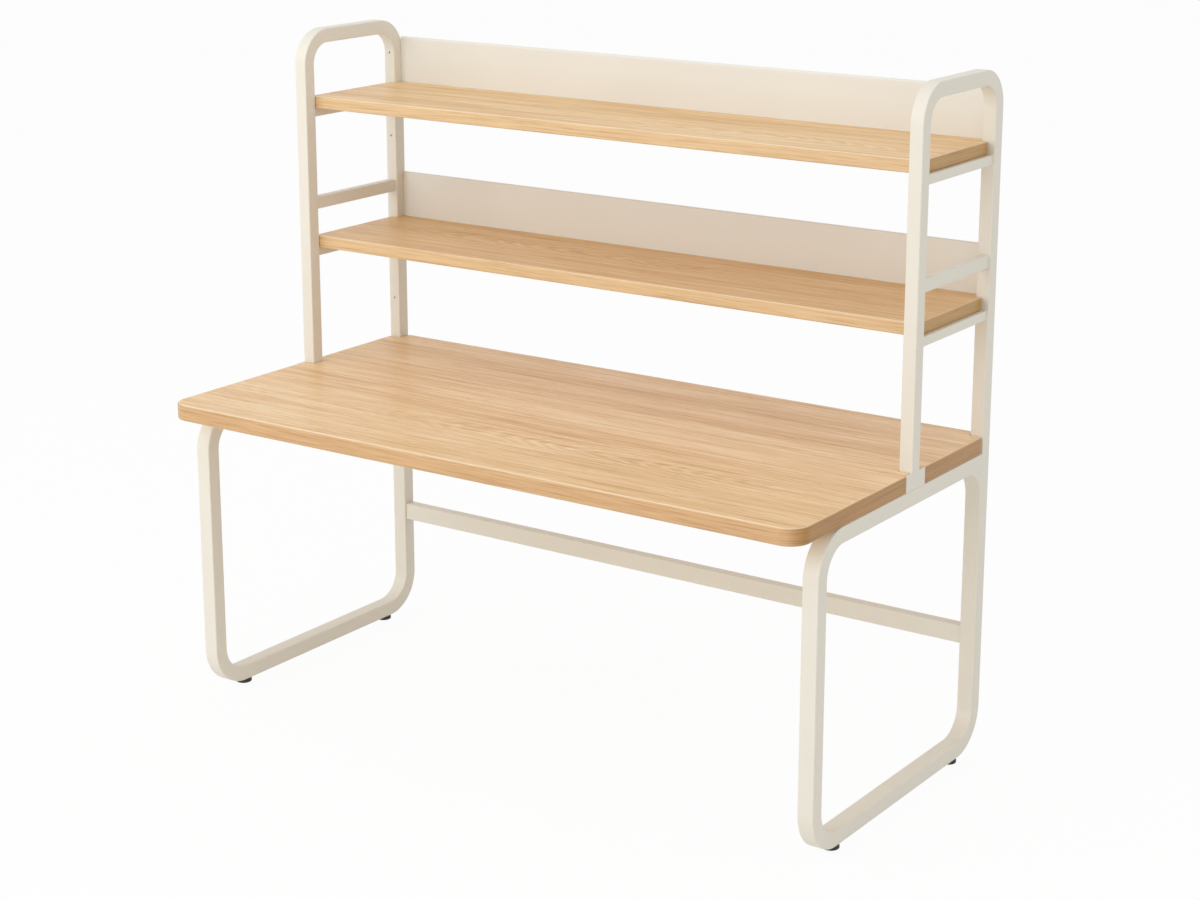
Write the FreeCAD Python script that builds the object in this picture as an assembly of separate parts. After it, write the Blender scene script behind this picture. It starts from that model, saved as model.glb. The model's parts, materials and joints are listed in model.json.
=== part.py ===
import FreeCAD
import Part
import math
import os

from FreeCAD import Vector

# Student desk with hutch, in millimetres. X is the width, Y runs from front to rear, Z is up.
# The origin is on the floor, in the middle of the desk's width and depth.

# Overall sizes: the hutch's height is counted from the top of the desk
desk_width = 1600.0
desk_depth = 800.0
desk_height = 710.0
hutch_height = 775.0

# Boards
top_thickness = 36.0
top_corner_radius = 45.0
top_edge_round = 4.0
shelf_thickness = 28.0
shelf_edge_round = 3.0
shelf_lap = 16.0
lower_shelf_rise = 299.0
upper_shelf_drop = 151.0
board_inner_corner = 3.0
board_clearance = 1.0

# Leg loops: tube width along X, tube depth in the plane of the loop
leg_tube_width = 36.0
leg_tube_depth = 34.0
leg_wall = 2.0
leg_edge_radius = 2.5
leg_bend_radius = 95.0
leg_setback = 80.0
leg_seam_setback = 230.0

# Hutch frames
hutch_tube_width = 30.0
hutch_tube_depth = 32.0
hutch_wall = 1.5
hutch_edge_radius = 2.5
hutch_bend_radius = 80.0
hutch_depth = 351.0

# Row of small holes in the front face of the left rear upright
hole_diameter = 5.0
hole_pitch = 199.0
hole_end_margin = 60.0
top_hole_drop = 81.0

# Front sockets
socket_plate_width = 80.0
socket_plate_thickness = 4.0

# Cross bars between the uprights
bar_width = 20.0
bar_wall = 1.5
bar_edge_radius = 2.0
shelf_bar_height = 20.0
guard_bar_height = 28.0
guard_bar_gap = 62.0

# Back panels
panel_thickness = 1.5
panel_height = 107.0
panel_setback = 8.0
panel_flange = 24.0
panel_hem = 5.0
panel_end_gap = 1.0

# Rear stretcher
stretcher_height = 40.0
stretcher_depth = 25.0
stretcher_wall = 1.5
stretcher_edge_radius = 2.0
stretcher_top = 283.0
stretcher_end_gap = 0.4
plug_length = 30.0

# Spigots and set screws
spigot_reach = 70.0
fit_clearance = 0.3
set_screw_diameter = 6.0
set_screw_length = 10.0
set_screw_drive_diameter = 3.0
set_screw_drive_depth = 4.0
screw_clearance = 0.1

# Bolts under the front sockets
bolt_diameter = 8.0
bolt_grip = 22.0
bolt_head_diameter = 13.0
bolt_head_height = 5.0
bolt_head_round = 2.0
bolt_drive_diameter = 5.8
bolt_drive_depth = 3.0
bolt_hole_clearance = 0.4

# Tabs and wood screws
tab_thickness = 3.0
tab_length = 26.0
tab_width = 40.0
tab_lip = 18.0
shelf_tab_length = 20.0
shelf_tab_width = 30.0
shelf_tab_margin = 57.0
wood_screw_diameter = 4.5
wood_screw_bite = 18.0
wood_screw_head_diameter = 9.0
wood_screw_head_height = 3.0
wood_screw_head_round = 1.2
wood_screw_drive_diameter = 4.0
wood_screw_drive_depth = 1.8
panel_screw_count = 5
panel_screw_margin = 90.0

# Glides
foot_height = 10.0
foot_pad_diameter = 36.0
foot_pad_top_diameter = 32.0
foot_pad_rim = 6.0
foot_pad_round = 2.0
foot_bend_margin = 1.0
stud_diameter = 8.0
stud_socket_depth = 5.0
stud_above_nut = 8.0
foot_nut_diameter = 18.0
foot_nut_height = 8.0

# Levels and planes worked out from the sizes above
total_height = desk_height + hutch_height
half_width = desk_width / 2
rear_face = desk_depth / 2
front_edge = -desk_depth / 2
top_underside = desk_height - top_thickness
leg_front = front_edge + leg_setback
leg_seam = leg_front + leg_seam_setback
leg_inner = half_width - leg_tube_width
leg_centre_x = half_width - leg_tube_width / 2
hutch_inner = half_width - hutch_tube_width
hutch_centre_x = half_width - hutch_tube_width / 2
upright_front = rear_face - hutch_depth
upright_back = upright_front + hutch_tube_depth
upright_centre_y = upright_front + hutch_tube_depth / 2
rear_upright_front = rear_face - hutch_tube_depth
panel_front = rear_face - panel_setback
lower_shelf_top = desk_height + lower_shelf_rise
upper_shelf_top = total_height - upper_shelf_drop
lower_shelf_bottom = lower_shelf_top - shelf_thickness
upper_shelf_bottom = upper_shelf_top - shelf_thickness
shelf_front = upright_back + board_clearance
shelf_end = hutch_inner + shelf_lap
notch_x = hutch_inner - board_clearance
notch_y = rear_upright_front - board_clearance
rail_underside = top_underside - leg_tube_depth
stretcher_y = rear_face - leg_tube_depth / 2
stretcher_z = stretcher_top - stretcher_height / 2
hole_count = int((hutch_height - top_hole_drop - hole_end_margin) // hole_pitch) + 1
panel_inner_bend = shelf_edge_round - fit_clearance
SIDES = {"left": -1.0, "right": 1.0}
REARWARD = Vector(0, 1, 0)
FORWARD = Vector(0, -1, 0)
UP = Vector(0, 0, 1)


def rounded_outline(points, radii):
    """Closed wire in the XY plane through corner points, each corner rounded by its own radius."""
    edges = []
    count = len(points)
    starts = []
    ends = []
    for i in range(count):
        corner = Vector(points[i][0], points[i][1], 0)
        back = Vector(points[i - 1][0], points[i - 1][1], 0) - corner
        ahead = Vector(points[(i + 1) % count][0], points[(i + 1) % count][1], 0) - corner
        back.normalize()
        ahead.normalize()
        if radii[i] <= 0:
            starts.append(corner)
            ends.append(corner)
            continue
        half_angle = back.getAngle(ahead) / 2
        middle = back + ahead
        middle.normalize()
        tangent = radii[i] / math.tan(half_angle)
        arc_middle = corner + middle * (radii[i] / math.sin(half_angle) - radii[i])
        starts.append(corner + back * tangent)
        ends.append(corner + ahead * tangent)
        edges.append(Part.Arc(starts[i], arc_middle, ends[i]).toShape())
    for i in range(count):
        following = starts[(i + 1) % count]
        if ends[i].distanceToPoint(following) > 1e-6:
            edges.append(Part.LineSegment(ends[i], following).toShape())
    return Part.Wire(Part.__sortEdges__(edges))


def prism(points, radii, bottom, height):
    """Upright prism over a rounded outline."""
    face = Part.Face(rounded_outline(points, radii))
    face.translate(Vector(0, 0, bottom))
    return face.extrude(Vector(0, 0, height))


def along_x(points, radii, x_range):
    """Prism along X over a rounded outline given in Y and Z."""
    face = Part.Face(rounded_outline(points, radii))
    face.rotate(Vector(0, 0, 0), Vector(1, 1, 1), 120)
    face.translate(Vector(x_range[0], 0, 0))
    return face.extrude(Vector(x_range[1] - x_range[0], 0, 0))


def rectangle(width, depth):
    """Corner points of a rectangle round the origin."""
    x = width / 2
    y = depth / 2
    return [(-x, -y), (x, -y), (x, y), (-x, y)]


def box(x_range, y_range, z_range):
    """Box between two limits on each axis, given in either order."""
    lows = [min(limits) for limits in (x_range, y_range, z_range)]
    sizes = [abs(limits[1] - limits[0]) for limits in (x_range, y_range, z_range)]
    return Part.makeBox(sizes[0], sizes[1], sizes[2], Vector(lows[0], lows[1], lows[2]))


def tube_section(width, depth, radius, inset):
    """Rounded tube section in the XY plane, shrunk by the inset on all sides."""
    corner = radius - inset
    return Part.Face(rounded_outline(rectangle(width - 2 * inset, depth - 2 * inset), [corner] * 4))


def sweep(section, x, start, heading, runs, bend_radius):
    """Carries a section along runs in the YZ plane. A run is a length and the turn that follows it."""
    y, z = start
    pieces = []
    for length, turn in runs:
        face = section.copy()
        face.rotate(Vector(0, 0, 0), Vector(1, 0, 0), heading - 90)
        along = Vector(0, math.cos(math.radians(heading)), math.sin(math.radians(heading)))
        face.translate(Vector(x, y, z))
        pieces.append(face.extrude(along * length))
        y += along.y * length
        z += along.z * length
        if turn:
            face.translate(along * length)
            side = math.radians(heading + math.copysign(90, turn))
            centre = Vector(x, y + bend_radius * math.cos(side), z + bend_radius * math.sin(side))
            pieces.append(face.revolve(centre, Vector(1, 0, 0), turn))
            y = centre.y - bend_radius * math.cos(side + math.radians(turn))
            z = centre.z - bend_radius * math.sin(side + math.radians(turn))
            heading += turn
    return pieces[0].multiFuse(pieces[1:]).removeSplitter()


def cylinder(diameter, length, base, direction):
    """Cylinder from a base point along a direction."""
    return Part.makeCylinder(diameter / 2, length, base, direction)


def headed_screw(seat, head_diameter, head_height, head_round, drive, shank):
    """Screw pointing up, its head's flat at the seat. Drive and shank are a diameter and a length."""
    head_end = seat - UP * head_height
    head = cylinder(head_diameter, head_height, head_end, UP)
    lower_rim = [e for e in head.Edges if e.Closed and e.BoundBox.ZMax < head_end.z + head_height / 2]
    head = head.makeFillet(head_round, lower_rim)
    socket = cylinder(drive[0], drive[1], head_end, UP)
    return head.cut(socket).fuse(cylinder(shank[0], shank[1], seat, UP)).removeSplitter()


def set_screw(face_point, direction):
    """Headless screw, flush with the face that it enters, with a hexagon socket."""
    body = cylinder(set_screw_diameter, set_screw_length, face_point, direction)
    return body.cut(cylinder(set_screw_drive_diameter, set_screw_drive_depth, face_point, direction))


def set_screw_hole(face_point, direction):
    """Room for a set screw, from outside the face to just past the screw's tip."""
    start = face_point - direction * set_screw_diameter
    length = set_screw_diameter + set_screw_length + screw_clearance
    return cylinder(set_screw_diameter + 2 * screw_clearance, length, start, direction)


def mirrored(shape, side):
    """The shape as made for the right side, or its mirror image for the left side."""
    if side > 0:
        return shape
    return shape.mirror(Vector(0, 0, 0), Vector(1, 0, 0))


# Fixing points of the right side

def rear_lock_points():
    """Where set screws enter the rear face, below and above the joint of leg and upright."""
    reach = spigot_reach / 2
    return [Vector(hutch_centre_x, rear_face, top_underside + reach * sign) for sign in (-1, 1)]


def front_lock_point():
    """Where a set screw enters the back of the front upright."""
    return Vector(hutch_centre_x, upright_back, desk_height + spigot_reach / 2)


def foot_places():
    """Y of the front and rear glide: on the straight of the floor rail, beside its bends."""
    inset = leg_bend_radius + foot_nut_diameter / 2 + foot_bend_margin
    return {"front": leg_front + inset, "rear": rear_face - inset}


def tabletop_tab_places():
    """Y of the tabs along the top rail: at both ends of its straight and in the middle."""
    front = leg_front + leg_bend_radius + tab_width / 2
    rear = rear_face - leg_bend_radius - tab_width / 2
    return [front, (front + rear) / 2, rear]


def shelf_tab_places():
    """Y of the two tabs on each shelf bar."""
    inset = shelf_tab_margin + shelf_tab_width / 2
    return [upright_back + inset, rear_upright_front - inset]


# Leg loop: two bent frames that are butt welded into one ring

def leg_shape(inset, open_top):
    """Closed ring with four bends, plus the straight corner on which the rear upright stands."""
    section = tube_section(leg_tube_width, leg_tube_depth, leg_edge_radius, inset)
    middle_radius = leg_bend_radius - leg_tube_depth / 2
    leg_run = top_underside - foot_height - 2 * leg_bend_radius
    rail_run = rear_face - leg_front - 2 * leg_bend_radius
    leg_y = rear_face - leg_tube_depth / 2
    rail_z = top_underside - leg_tube_depth / 2
    start = (leg_y, top_underside - leg_bend_radius)
    runs = [(leg_run, -90), (rail_run, -90), (leg_run, -90), (rail_run, -90)]
    ring = sweep(section, leg_centre_x, start, -90, runs, middle_radius)
    post_length = leg_bend_radius + open_top
    post = sweep(section, leg_centre_x, start, 90, [(post_length, 0)], middle_radius)
    rail_start = (rear_face - leg_bend_radius, rail_z)
    rail_end = sweep(section, leg_centre_x, rail_start, 0, [(leg_y - rail_start[0], 0)], middle_radius)
    return ring.multiFuse([post, rail_end]).removeSplitter()


def leg_loop(side):
    solid = leg_shape(0, 0).cut(leg_shape(leg_wall, leg_wall))
    for y in foot_places().values():
        base = Vector(leg_centre_x, y, foot_height - leg_wall)
        solid = solid.cut(cylinder(stud_diameter + 2 * fit_clearance, 3 * leg_wall, base, UP))
    bolt_base = Vector(hutch_centre_x, upright_centre_y, rail_underside - leg_wall)
    bolt_hole = bolt_diameter + 2 * bolt_hole_clearance
    solid = solid.cut(cylinder(bolt_hole, leg_tube_depth + 2 * leg_wall, bolt_base, UP))
    solid = solid.cut(set_screw_hole(rear_lock_points()[0], FORWARD))
    return mirrored(solid, side)


def leg_frames(side):
    """The loop, parted at the weld seams in its top rail and floor rail."""
    loop = leg_loop(side)
    room = loop.BoundBox
    x_range = (room.XMin, room.XMax)
    z_range = (room.ZMin, room.ZMax)
    return {"front": loop.common(box(x_range, (room.YMin, leg_seam), z_range)),
            "rear": loop.common(box(x_range, (leg_seam, room.YMax), z_range))}


# Hutch frame

def hutch_shape(inset):
    section = tube_section(hutch_tube_width, hutch_tube_depth, hutch_edge_radius, inset)
    start = (rear_face - hutch_tube_depth / 2, top_underside)
    rear_run = total_height - hutch_bend_radius - top_underside
    top_run = hutch_depth - 2 * hutch_bend_radius
    front_run = total_height - hutch_bend_radius - desk_height
    runs = [(rear_run, 90), (top_run, 90), (front_run, 0)]
    return sweep(section, hutch_centre_x, start, 90, runs, hutch_bend_radius - hutch_tube_depth / 2)


def hutch_frame(side):
    solid = hutch_shape(0).cut(hutch_shape(hutch_wall))
    solid = solid.cut(set_screw_hole(rear_lock_points()[1], FORWARD))
    solid = solid.cut(set_screw_hole(front_lock_point(), FORWARD))
    if side < 0:
        for i in range(hole_count):
            z = total_height - top_hole_drop - i * hole_pitch
            base = Vector(hutch_centre_x, rear_upright_front - hutch_wall, z)
            solid = solid.cut(cylinder(hole_diameter, 3 * hutch_wall, base, REARWARD))
    return mirrored(solid, side)


# Front socket: a stub of hutch tube with a T plate flush with its outer face

def front_socket(side):
    start = (upright_centre_y, top_underside)
    runs = [(top_thickness, 0)]
    layers = []
    for inset in (0, hutch_wall):
        section = tube_section(hutch_tube_width, hutch_tube_depth, hutch_edge_radius, inset)
        layers.append(sweep(section, hutch_centre_x, start, 90, runs, 0))
    half_plate = socket_plate_width / 2
    plate = box((half_width - socket_plate_thickness, half_width),
                (upright_centre_y - half_plate, upright_centre_y + half_plate),
                (top_underside, desk_height))
    return mirrored(layers[0].fuse(plate).cut(layers[1]).removeSplitter(), side)


# Spigots

def spigot(cavities, bottom, top):
    """Bar that fits the room shared by all the tube cavities, given as X and Y limits."""
    x_low = max(c[0] for c in cavities) + fit_clearance
    x_high = min(c[1] for c in cavities) - fit_clearance
    y_low = max(c[2] for c in cavities) + fit_clearance
    y_high = min(c[3] for c in cavities) - fit_clearance
    points = [(x_low, y_low), (x_high, y_low), (x_high, y_high), (x_low, y_high)]
    return prism(points, [max(leg_edge_radius, hutch_edge_radius)] * 4, bottom, top - bottom)


def upright_cavity(centre_y):
    reach_y = hutch_tube_depth / 2 - hutch_wall
    return (hutch_inner + hutch_wall, half_width - hutch_wall, centre_y - reach_y, centre_y + reach_y)


def front_spigot(side):
    bar = spigot([upright_cavity(upright_centre_y)], top_underside, desk_height + spigot_reach)
    bolt_base = Vector(hutch_centre_x, upright_centre_y, top_underside)
    thread = cylinder(bolt_diameter + 2 * screw_clearance, bolt_grip + screw_clearance, bolt_base, UP)
    return mirrored(bar.cut([thread, set_screw_hole(front_lock_point(), FORWARD)]), side)


def rear_spigot(side):
    leg_cavity = (leg_inner + leg_wall, half_width - leg_wall,
                  rear_face - leg_tube_depth + leg_wall, rear_face - leg_wall)
    cavities = [leg_cavity, upright_cavity(rear_face - hutch_tube_depth / 2)]
    bar = spigot(cavities, top_underside - spigot_reach, top_underside + spigot_reach)
    for point in rear_lock_points():
        bar = bar.cut(set_screw_hole(point, FORWARD))
    return mirrored(bar, side)


def socket_bolt(side):
    seat = Vector(hutch_centre_x, upright_centre_y, rail_underside)
    bolt = headed_screw(seat, bolt_head_diameter, bolt_head_height, bolt_head_round,
                        (bolt_drive_diameter, bolt_drive_depth), (bolt_diameter, leg_tube_depth + bolt_grip))
    return mirrored(bolt, side)


def lock_screws(side):
    screws = [set_screw(point, FORWARD) for point in rear_lock_points() + [front_lock_point()]]
    return [mirrored(screw, side) for screw in screws]


# Cross bars

def cross_bar(side, bottom, height):
    start = (upright_back, bottom + height / 2)
    runs = [(rear_upright_front - upright_back, 0)]
    layers = []
    for inset in (0, bar_wall):
        section = tube_section(bar_width, height, bar_edge_radius, inset)
        layers.append(sweep(section, hutch_centre_x, start, 0, runs, 0))
    return mirrored(layers[0].cut(layers[1]), side)


# Boards

def rounded_board(end, front, rear, front_corner, bottom, thickness, edge_round):
    """Board with rounded rims and a notch at each rear corner for the rear uprights."""
    points = [(-end, front), (end, front), (end, notch_y), (notch_x, notch_y), (notch_x, rear),
              (-notch_x, rear), (-notch_x, notch_y), (-end, notch_y)]
    outer_corner = edge_round + board_inner_corner
    notch_corner = hutch_edge_radius + board_clearance
    radii = [front_corner, front_corner, outer_corner, notch_corner, outer_corner,
             outer_corner, notch_corner, outer_corner]
    board = prism(points, radii, bottom, thickness)
    rims = [e for e in board.Edges if e.BoundBox.ZLength < thickness / 2]
    return board.makeFillet(edge_round, rims)


def both_sides(tool):
    return [mirrored(tool, side) for side in SIDES.values()]


def pilot_hole(x, y, bottom):
    """Hole for a wood screw in the underside of a board."""
    diameter = wood_screw_diameter + 2 * screw_clearance
    return cylinder(diameter, wood_screw_bite + screw_clearance, Vector(x, y, bottom), UP)


def tabletop():
    board = rounded_board(half_width, front_edge, rear_face, top_corner_radius,
                          top_underside, top_thickness, top_edge_round)
    beyond = half_width + board_clearance
    tall = (top_underside - board_clearance, desk_height + board_clearance)
    stub_half = hutch_tube_depth / 2 + board_clearance
    plate_half = socket_plate_width / 2 + board_clearance
    stub_room = box((notch_x, beyond), (upright_centre_y - stub_half, upright_centre_y + stub_half), tall)
    plate_room = box((half_width - socket_plate_thickness - board_clearance, beyond),
                     (upright_centre_y - plate_half, upright_centre_y + plate_half), tall)
    tools = both_sides(stub_room.fuse(plate_room))
    return board.cut(tools + [pilot_hole(x, y, top_underside) for x, y in tabletop_screw_places()])


def shelf(bottom):
    board = rounded_board(shelf_end, shelf_front, panel_front, shelf_edge_round + board_inner_corner,
                          bottom, shelf_thickness, shelf_edge_round)
    return board.cut([pilot_hole(x, y, bottom) for x, y in shelf_screw_places() + panel_screw_places()])


# Tabs and wood screws

def tabletop_screw_places():
    x = leg_inner - tab_length / 2
    return [(x * side, y) for side in SIDES.values() for y in tabletop_tab_places()]


def shelf_tab_edge():
    """X of the inner face of the shelf bars."""
    return hutch_centre_x - bar_width / 2


def shelf_screw_places():
    x = shelf_tab_edge() - shelf_tab_length / 2
    return [(x * side, y) for side in SIDES.values() for y in shelf_tab_places()]


def panel_screw_places():
    end = hutch_inner - panel_screw_margin
    step = 2 * end / (panel_screw_count - 1)
    y = panel_front - panel_flange / 2
    return [(-end + i * step, y) for i in range(panel_screw_count)]


def screw_hole(x, y, top):
    """Clearance hole through a tab or flange that lies under a board."""
    start = Vector(x, y, top - 2 * tab_thickness)
    return cylinder(wood_screw_diameter + 2 * fit_clearance, 3 * tab_thickness, start, UP)


def tabletop_tab(side, y):
    """Angle welded to the inner face of the top rail."""
    y_range = (y - tab_width / 2, y + tab_width / 2)
    top = top_underside
    plate = box((leg_inner - tab_length, leg_inner), y_range, (top - tab_thickness, top))
    lip = box((leg_inner - tab_thickness, leg_inner), y_range, (top - tab_lip, top))
    tab = plate.fuse(lip).removeSplitter()
    return mirrored(tab.cut(screw_hole(leg_inner - tab_length / 2, y, top)), side)


def shelf_tab(side, y, bottom):
    """Flat tab welded to the inner face of a shelf bar."""
    edge = shelf_tab_edge()
    y_range = (y - shelf_tab_width / 2, y + shelf_tab_width / 2)
    tab = box((edge - shelf_tab_length, edge), y_range, (bottom - tab_thickness, bottom))
    return mirrored(tab.cut(screw_hole(edge - shelf_tab_length / 2, y, bottom)), side)


def wood_screw(x, y, board_bottom, plate):
    seat = Vector(x, y, board_bottom - plate)
    return headed_screw(seat, wood_screw_head_diameter, wood_screw_head_height, wood_screw_head_round,
                        (wood_screw_drive_diameter, wood_screw_drive_depth),
                        (wood_screw_diameter, plate + wood_screw_bite))


# Back panels

def back_panel(shelf_bottom):
    """Folded sheet: a flange under the shelf, a plain face behind it and a hem turned to the rear."""
    panel_end = hutch_inner - panel_end_gap
    top = shelf_bottom + shelf_thickness + panel_height
    low = shelf_bottom - panel_thickness
    back = panel_front + panel_thickness
    outer_bend = panel_inner_bend + panel_thickness
    points = [(panel_front - panel_flange, low), (back, low), (back, top - panel_thickness),
              (back + panel_hem, top - panel_thickness), (back + panel_hem, top), (panel_front, top),
              (panel_front, shelf_bottom), (panel_front - panel_flange, shelf_bottom)]
    radii = [0, outer_bend, panel_inner_bend, 0, 0, outer_bend, panel_inner_bend, 0]
    sheet = along_x(points, radii, (-panel_end, panel_end))
    return sheet.cut([screw_hole(x, y, shelf_bottom) for x, y in panel_screw_places()])


# Rear stretcher

def bar_along_x(x_range, depth, height, radius):
    """Bar of rounded section along X, centred on the stretcher."""
    points = [(stretcher_y + y, stretcher_z + z) for y, z in rectangle(depth, height)]
    return along_x(points, [radius] * 4, x_range)


def plug_screw_point():
    return Vector(leg_inner - plug_length / 2, stretcher_y + stretcher_depth / 2, stretcher_z)


def rear_stretcher():
    x_range = (stretcher_end_gap - leg_inner, leg_inner - stretcher_end_gap)
    outer = bar_along_x(x_range, stretcher_depth, stretcher_height, stretcher_edge_radius)
    walls = 2 * stretcher_wall
    inner = bar_along_x(x_range, stretcher_depth - walls, stretcher_height - walls,
                        stretcher_edge_radius - stretcher_wall)
    return outer.cut(inner).cut(both_sides(set_screw_hole(plug_screw_point(), FORWARD)))


def stretcher_plug(side):
    gap = 2 * (stretcher_wall + fit_clearance)
    x_range = (leg_inner - plug_length, leg_inner)
    plug = bar_along_x(x_range, stretcher_depth - gap, stretcher_height - gap, stretcher_edge_radius)
    return mirrored(plug.cut(set_screw_hole(plug_screw_point(), FORWARD)), side)


# Glides

def foot_pad(x, y):
    """Moulded pad with a low rim and a tapered top, on the floor."""
    rim = cylinder(foot_pad_diameter, foot_pad_rim, Vector(x, y, 0), UP)
    floor_edge = [e for e in rim.Edges if e.Closed and e.BoundBox.ZMax < foot_pad_rim / 2]
    rim = rim.makeFillet(foot_pad_round, floor_edge)
    taper = Part.makeCone(foot_pad_diameter / 2, foot_pad_top_diameter / 2, foot_height - foot_pad_rim,
                          Vector(x, y, foot_pad_rim), UP)
    room_base = Vector(x, y, foot_height - stud_socket_depth)
    room = cylinder(stud_diameter + 2 * screw_clearance, stud_socket_depth, room_base, UP)
    return rim.fuse(taper).cut(room)


def stud_top():
    return foot_height + leg_wall + foot_nut_height + stud_above_nut


def foot_stud(x, y):
    base = foot_height - stud_socket_depth
    return cylinder(stud_diameter, stud_top() - base, Vector(x, y, base), UP)


def foot_nut(x, y):
    base = Vector(x, y, foot_height + leg_wall)
    nut = cylinder(foot_nut_diameter, foot_nut_height, base, UP)
    return nut.cut(cylinder(stud_diameter + 2 * fit_clearance, foot_nut_height, base, UP))


# All nodes, by name

def build():
    nodes = {}
    shelves = {"lower": lower_shelf_bottom, "upper": upper_shelf_bottom}
    for name, side in SIDES.items():
        for end, frame in leg_frames(side).items():
            nodes[name + "_" + end + "_leg_frame"] = frame
        nodes[name + "_hutch_frame"] = hutch_frame(side)
        nodes[name + "_front_socket"] = front_socket(side)
        for level, bottom in shelves.items():
            bar = cross_bar(side, bottom - shelf_bar_height, shelf_bar_height)
            nodes[name + "_" + level + "_shelf_bar"] = bar
        nodes[name + "_guard_bar"] = cross_bar(side, lower_shelf_top + guard_bar_gap, guard_bar_height)
        for end, y in foot_places().items():
            nodes[end + "_" + name + "_foot_pad"] = foot_pad(leg_centre_x * side, y)
            nodes[end + "_" + name + "_foot_stud"] = foot_stud(leg_centre_x * side, y)
    nodes["tabletop"] = tabletop()
    for level, bottom in shelves.items():
        nodes[level + "_shelf"] = shelf(bottom)
        nodes[level + "_back_panel"] = back_panel(bottom)
    nodes["rear_stretcher"] = rear_stretcher()
    sides = SIDES.values()
    levels = shelves.values()
    top_screws = [(x, y, top_underside) for x, y in tabletop_screw_places()]
    shelf_screws = [(x, y, z) for z in levels for x, y in shelf_screw_places()]
    panel_screws = [(x, y, z) for z in levels for x, y in panel_screw_places()]
    groups = {
        "front_spigots": [front_spigot(s) for s in sides],
        "rear_spigots": [rear_spigot(s) for s in sides],
        "socket_bolts": [socket_bolt(s) for s in sides],
        "lock_screws": [screw for s in sides for screw in lock_screws(s)],
        "stretcher_plugs": [stretcher_plug(s) for s in sides],
        "stretcher_screws": both_sides(set_screw(plug_screw_point(), FORWARD)),
        "tabletop_tabs": [tabletop_tab(s, y) for s in sides for y in tabletop_tab_places()],
        "tabletop_screws": [wood_screw(x, y, z, tab_thickness) for x, y, z in top_screws],
        "shelf_tabs": [shelf_tab(s, y, z) for z in levels for s in sides for y in shelf_tab_places()],
        "shelf_screws": [wood_screw(x, y, z, tab_thickness) for x, y, z in shelf_screws],
        "panel_screws": [wood_screw(x, y, z, panel_thickness) for x, y, z in panel_screws],
        "foot_nuts": [foot_nut(leg_centre_x * s, y) for s in sides for y in foot_places().values()],
    }
    for name, solids in groups.items():
        nodes[name] = Part.makeCompound(solids)
    return nodes


def main():
    os.makedirs("parts", exist_ok=True)
    for name, shape in build().items():
        if not shape.isValid():
            raise ValueError(name + " is not a valid solid")
        shape.exportStep("parts/" + name + ".step")
        print(name, "solids", len(shape.Solids), "mm3", round(shape.Volume))


main()
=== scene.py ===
# %% [markdown]
# # Student desk with hutch
# The desk is a knock-down frame of cream coated steel tube with oak boards. Its solids are already
# packed as a frame in metres: X runs along the width, Y from the sitter to the rear, and Z up from the
# floor. Each step below dresses one kind of piece. A dressed piece stands exactly where its solid
# stands, hides that solid and rides on the same body, and each of the four levelling feet has a body of
# its own.

# %% Load the imported frame
import json
import math

import bmesh
import bpy
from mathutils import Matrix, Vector


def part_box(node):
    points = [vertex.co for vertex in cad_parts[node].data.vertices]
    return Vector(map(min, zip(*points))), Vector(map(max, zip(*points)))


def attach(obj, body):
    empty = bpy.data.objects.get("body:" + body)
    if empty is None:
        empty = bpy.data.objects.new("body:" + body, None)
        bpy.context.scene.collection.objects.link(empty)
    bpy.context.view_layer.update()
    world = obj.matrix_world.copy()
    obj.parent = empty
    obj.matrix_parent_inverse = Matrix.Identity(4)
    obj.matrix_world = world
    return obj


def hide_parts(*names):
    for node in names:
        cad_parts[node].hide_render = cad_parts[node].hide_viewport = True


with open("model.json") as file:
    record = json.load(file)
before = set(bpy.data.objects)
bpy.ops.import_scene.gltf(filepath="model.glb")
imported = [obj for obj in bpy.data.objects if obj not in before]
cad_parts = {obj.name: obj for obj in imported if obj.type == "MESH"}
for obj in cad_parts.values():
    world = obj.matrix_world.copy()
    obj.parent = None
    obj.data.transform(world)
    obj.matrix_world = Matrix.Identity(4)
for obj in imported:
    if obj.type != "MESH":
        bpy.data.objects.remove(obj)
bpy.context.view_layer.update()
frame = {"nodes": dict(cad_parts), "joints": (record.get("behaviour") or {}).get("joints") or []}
scene = bpy.context.scene

# %% [markdown]
# ## Small helpers
# Colours are written as the hex values that a paint chart or a photo gives, and a shader wants linear
# light, so one function turns the first into the second. One more function adds a node to any tree,
# sets its options, and links or fills its inputs. It serves shader trees and geometry trees alike. Two
# others read the box of a solid from the frame, so that most sizes and places below come from the
# solids themselves. They are in millimetres, up to the studio, which is laid out in metres.

# %% Colour, node and measuring helpers
MM = 0.001


def linear(hex_colour):
    """Linear RGBA of an sRGB hex colour."""
    shares = [int(hex_colour[i:i + 2], 16) / 255 for i in (1, 3, 5)]
    return [s / 12.92 if s <= 0.04045 else ((s + 0.055) / 1.055) ** 2.4 for s in shares] + [1.0]


def add(tree, kind, inputs=None, **options):
    """Adds one node. An input is linked to a socket or a node's first output, or takes a fixed value."""
    made = tree.nodes.new(kind)
    for name, value in options.items():
        setattr(made, name, value)
    for key, value in (inputs or {}).items():
        if isinstance(value, bpy.types.Node):
            value = next(socket for socket in value.outputs if socket.enabled)
        if isinstance(value, bpy.types.NodeSocket):
            tree.links.new(value, made.inputs[key])
        else:
            made.inputs[key].default_value = value
    return made


def measured(node):
    """Lowest and highest corner of a CAD node in millimetres, to a tenth."""
    return [[round(v / MM, 1) for v in corner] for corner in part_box(node)]


def middle(node):
    """Middle of a CAD node's box in millimetres."""
    low, high = measured(node)
    return [(a + b) / 2 for a, b in zip(low, high)]


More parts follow.
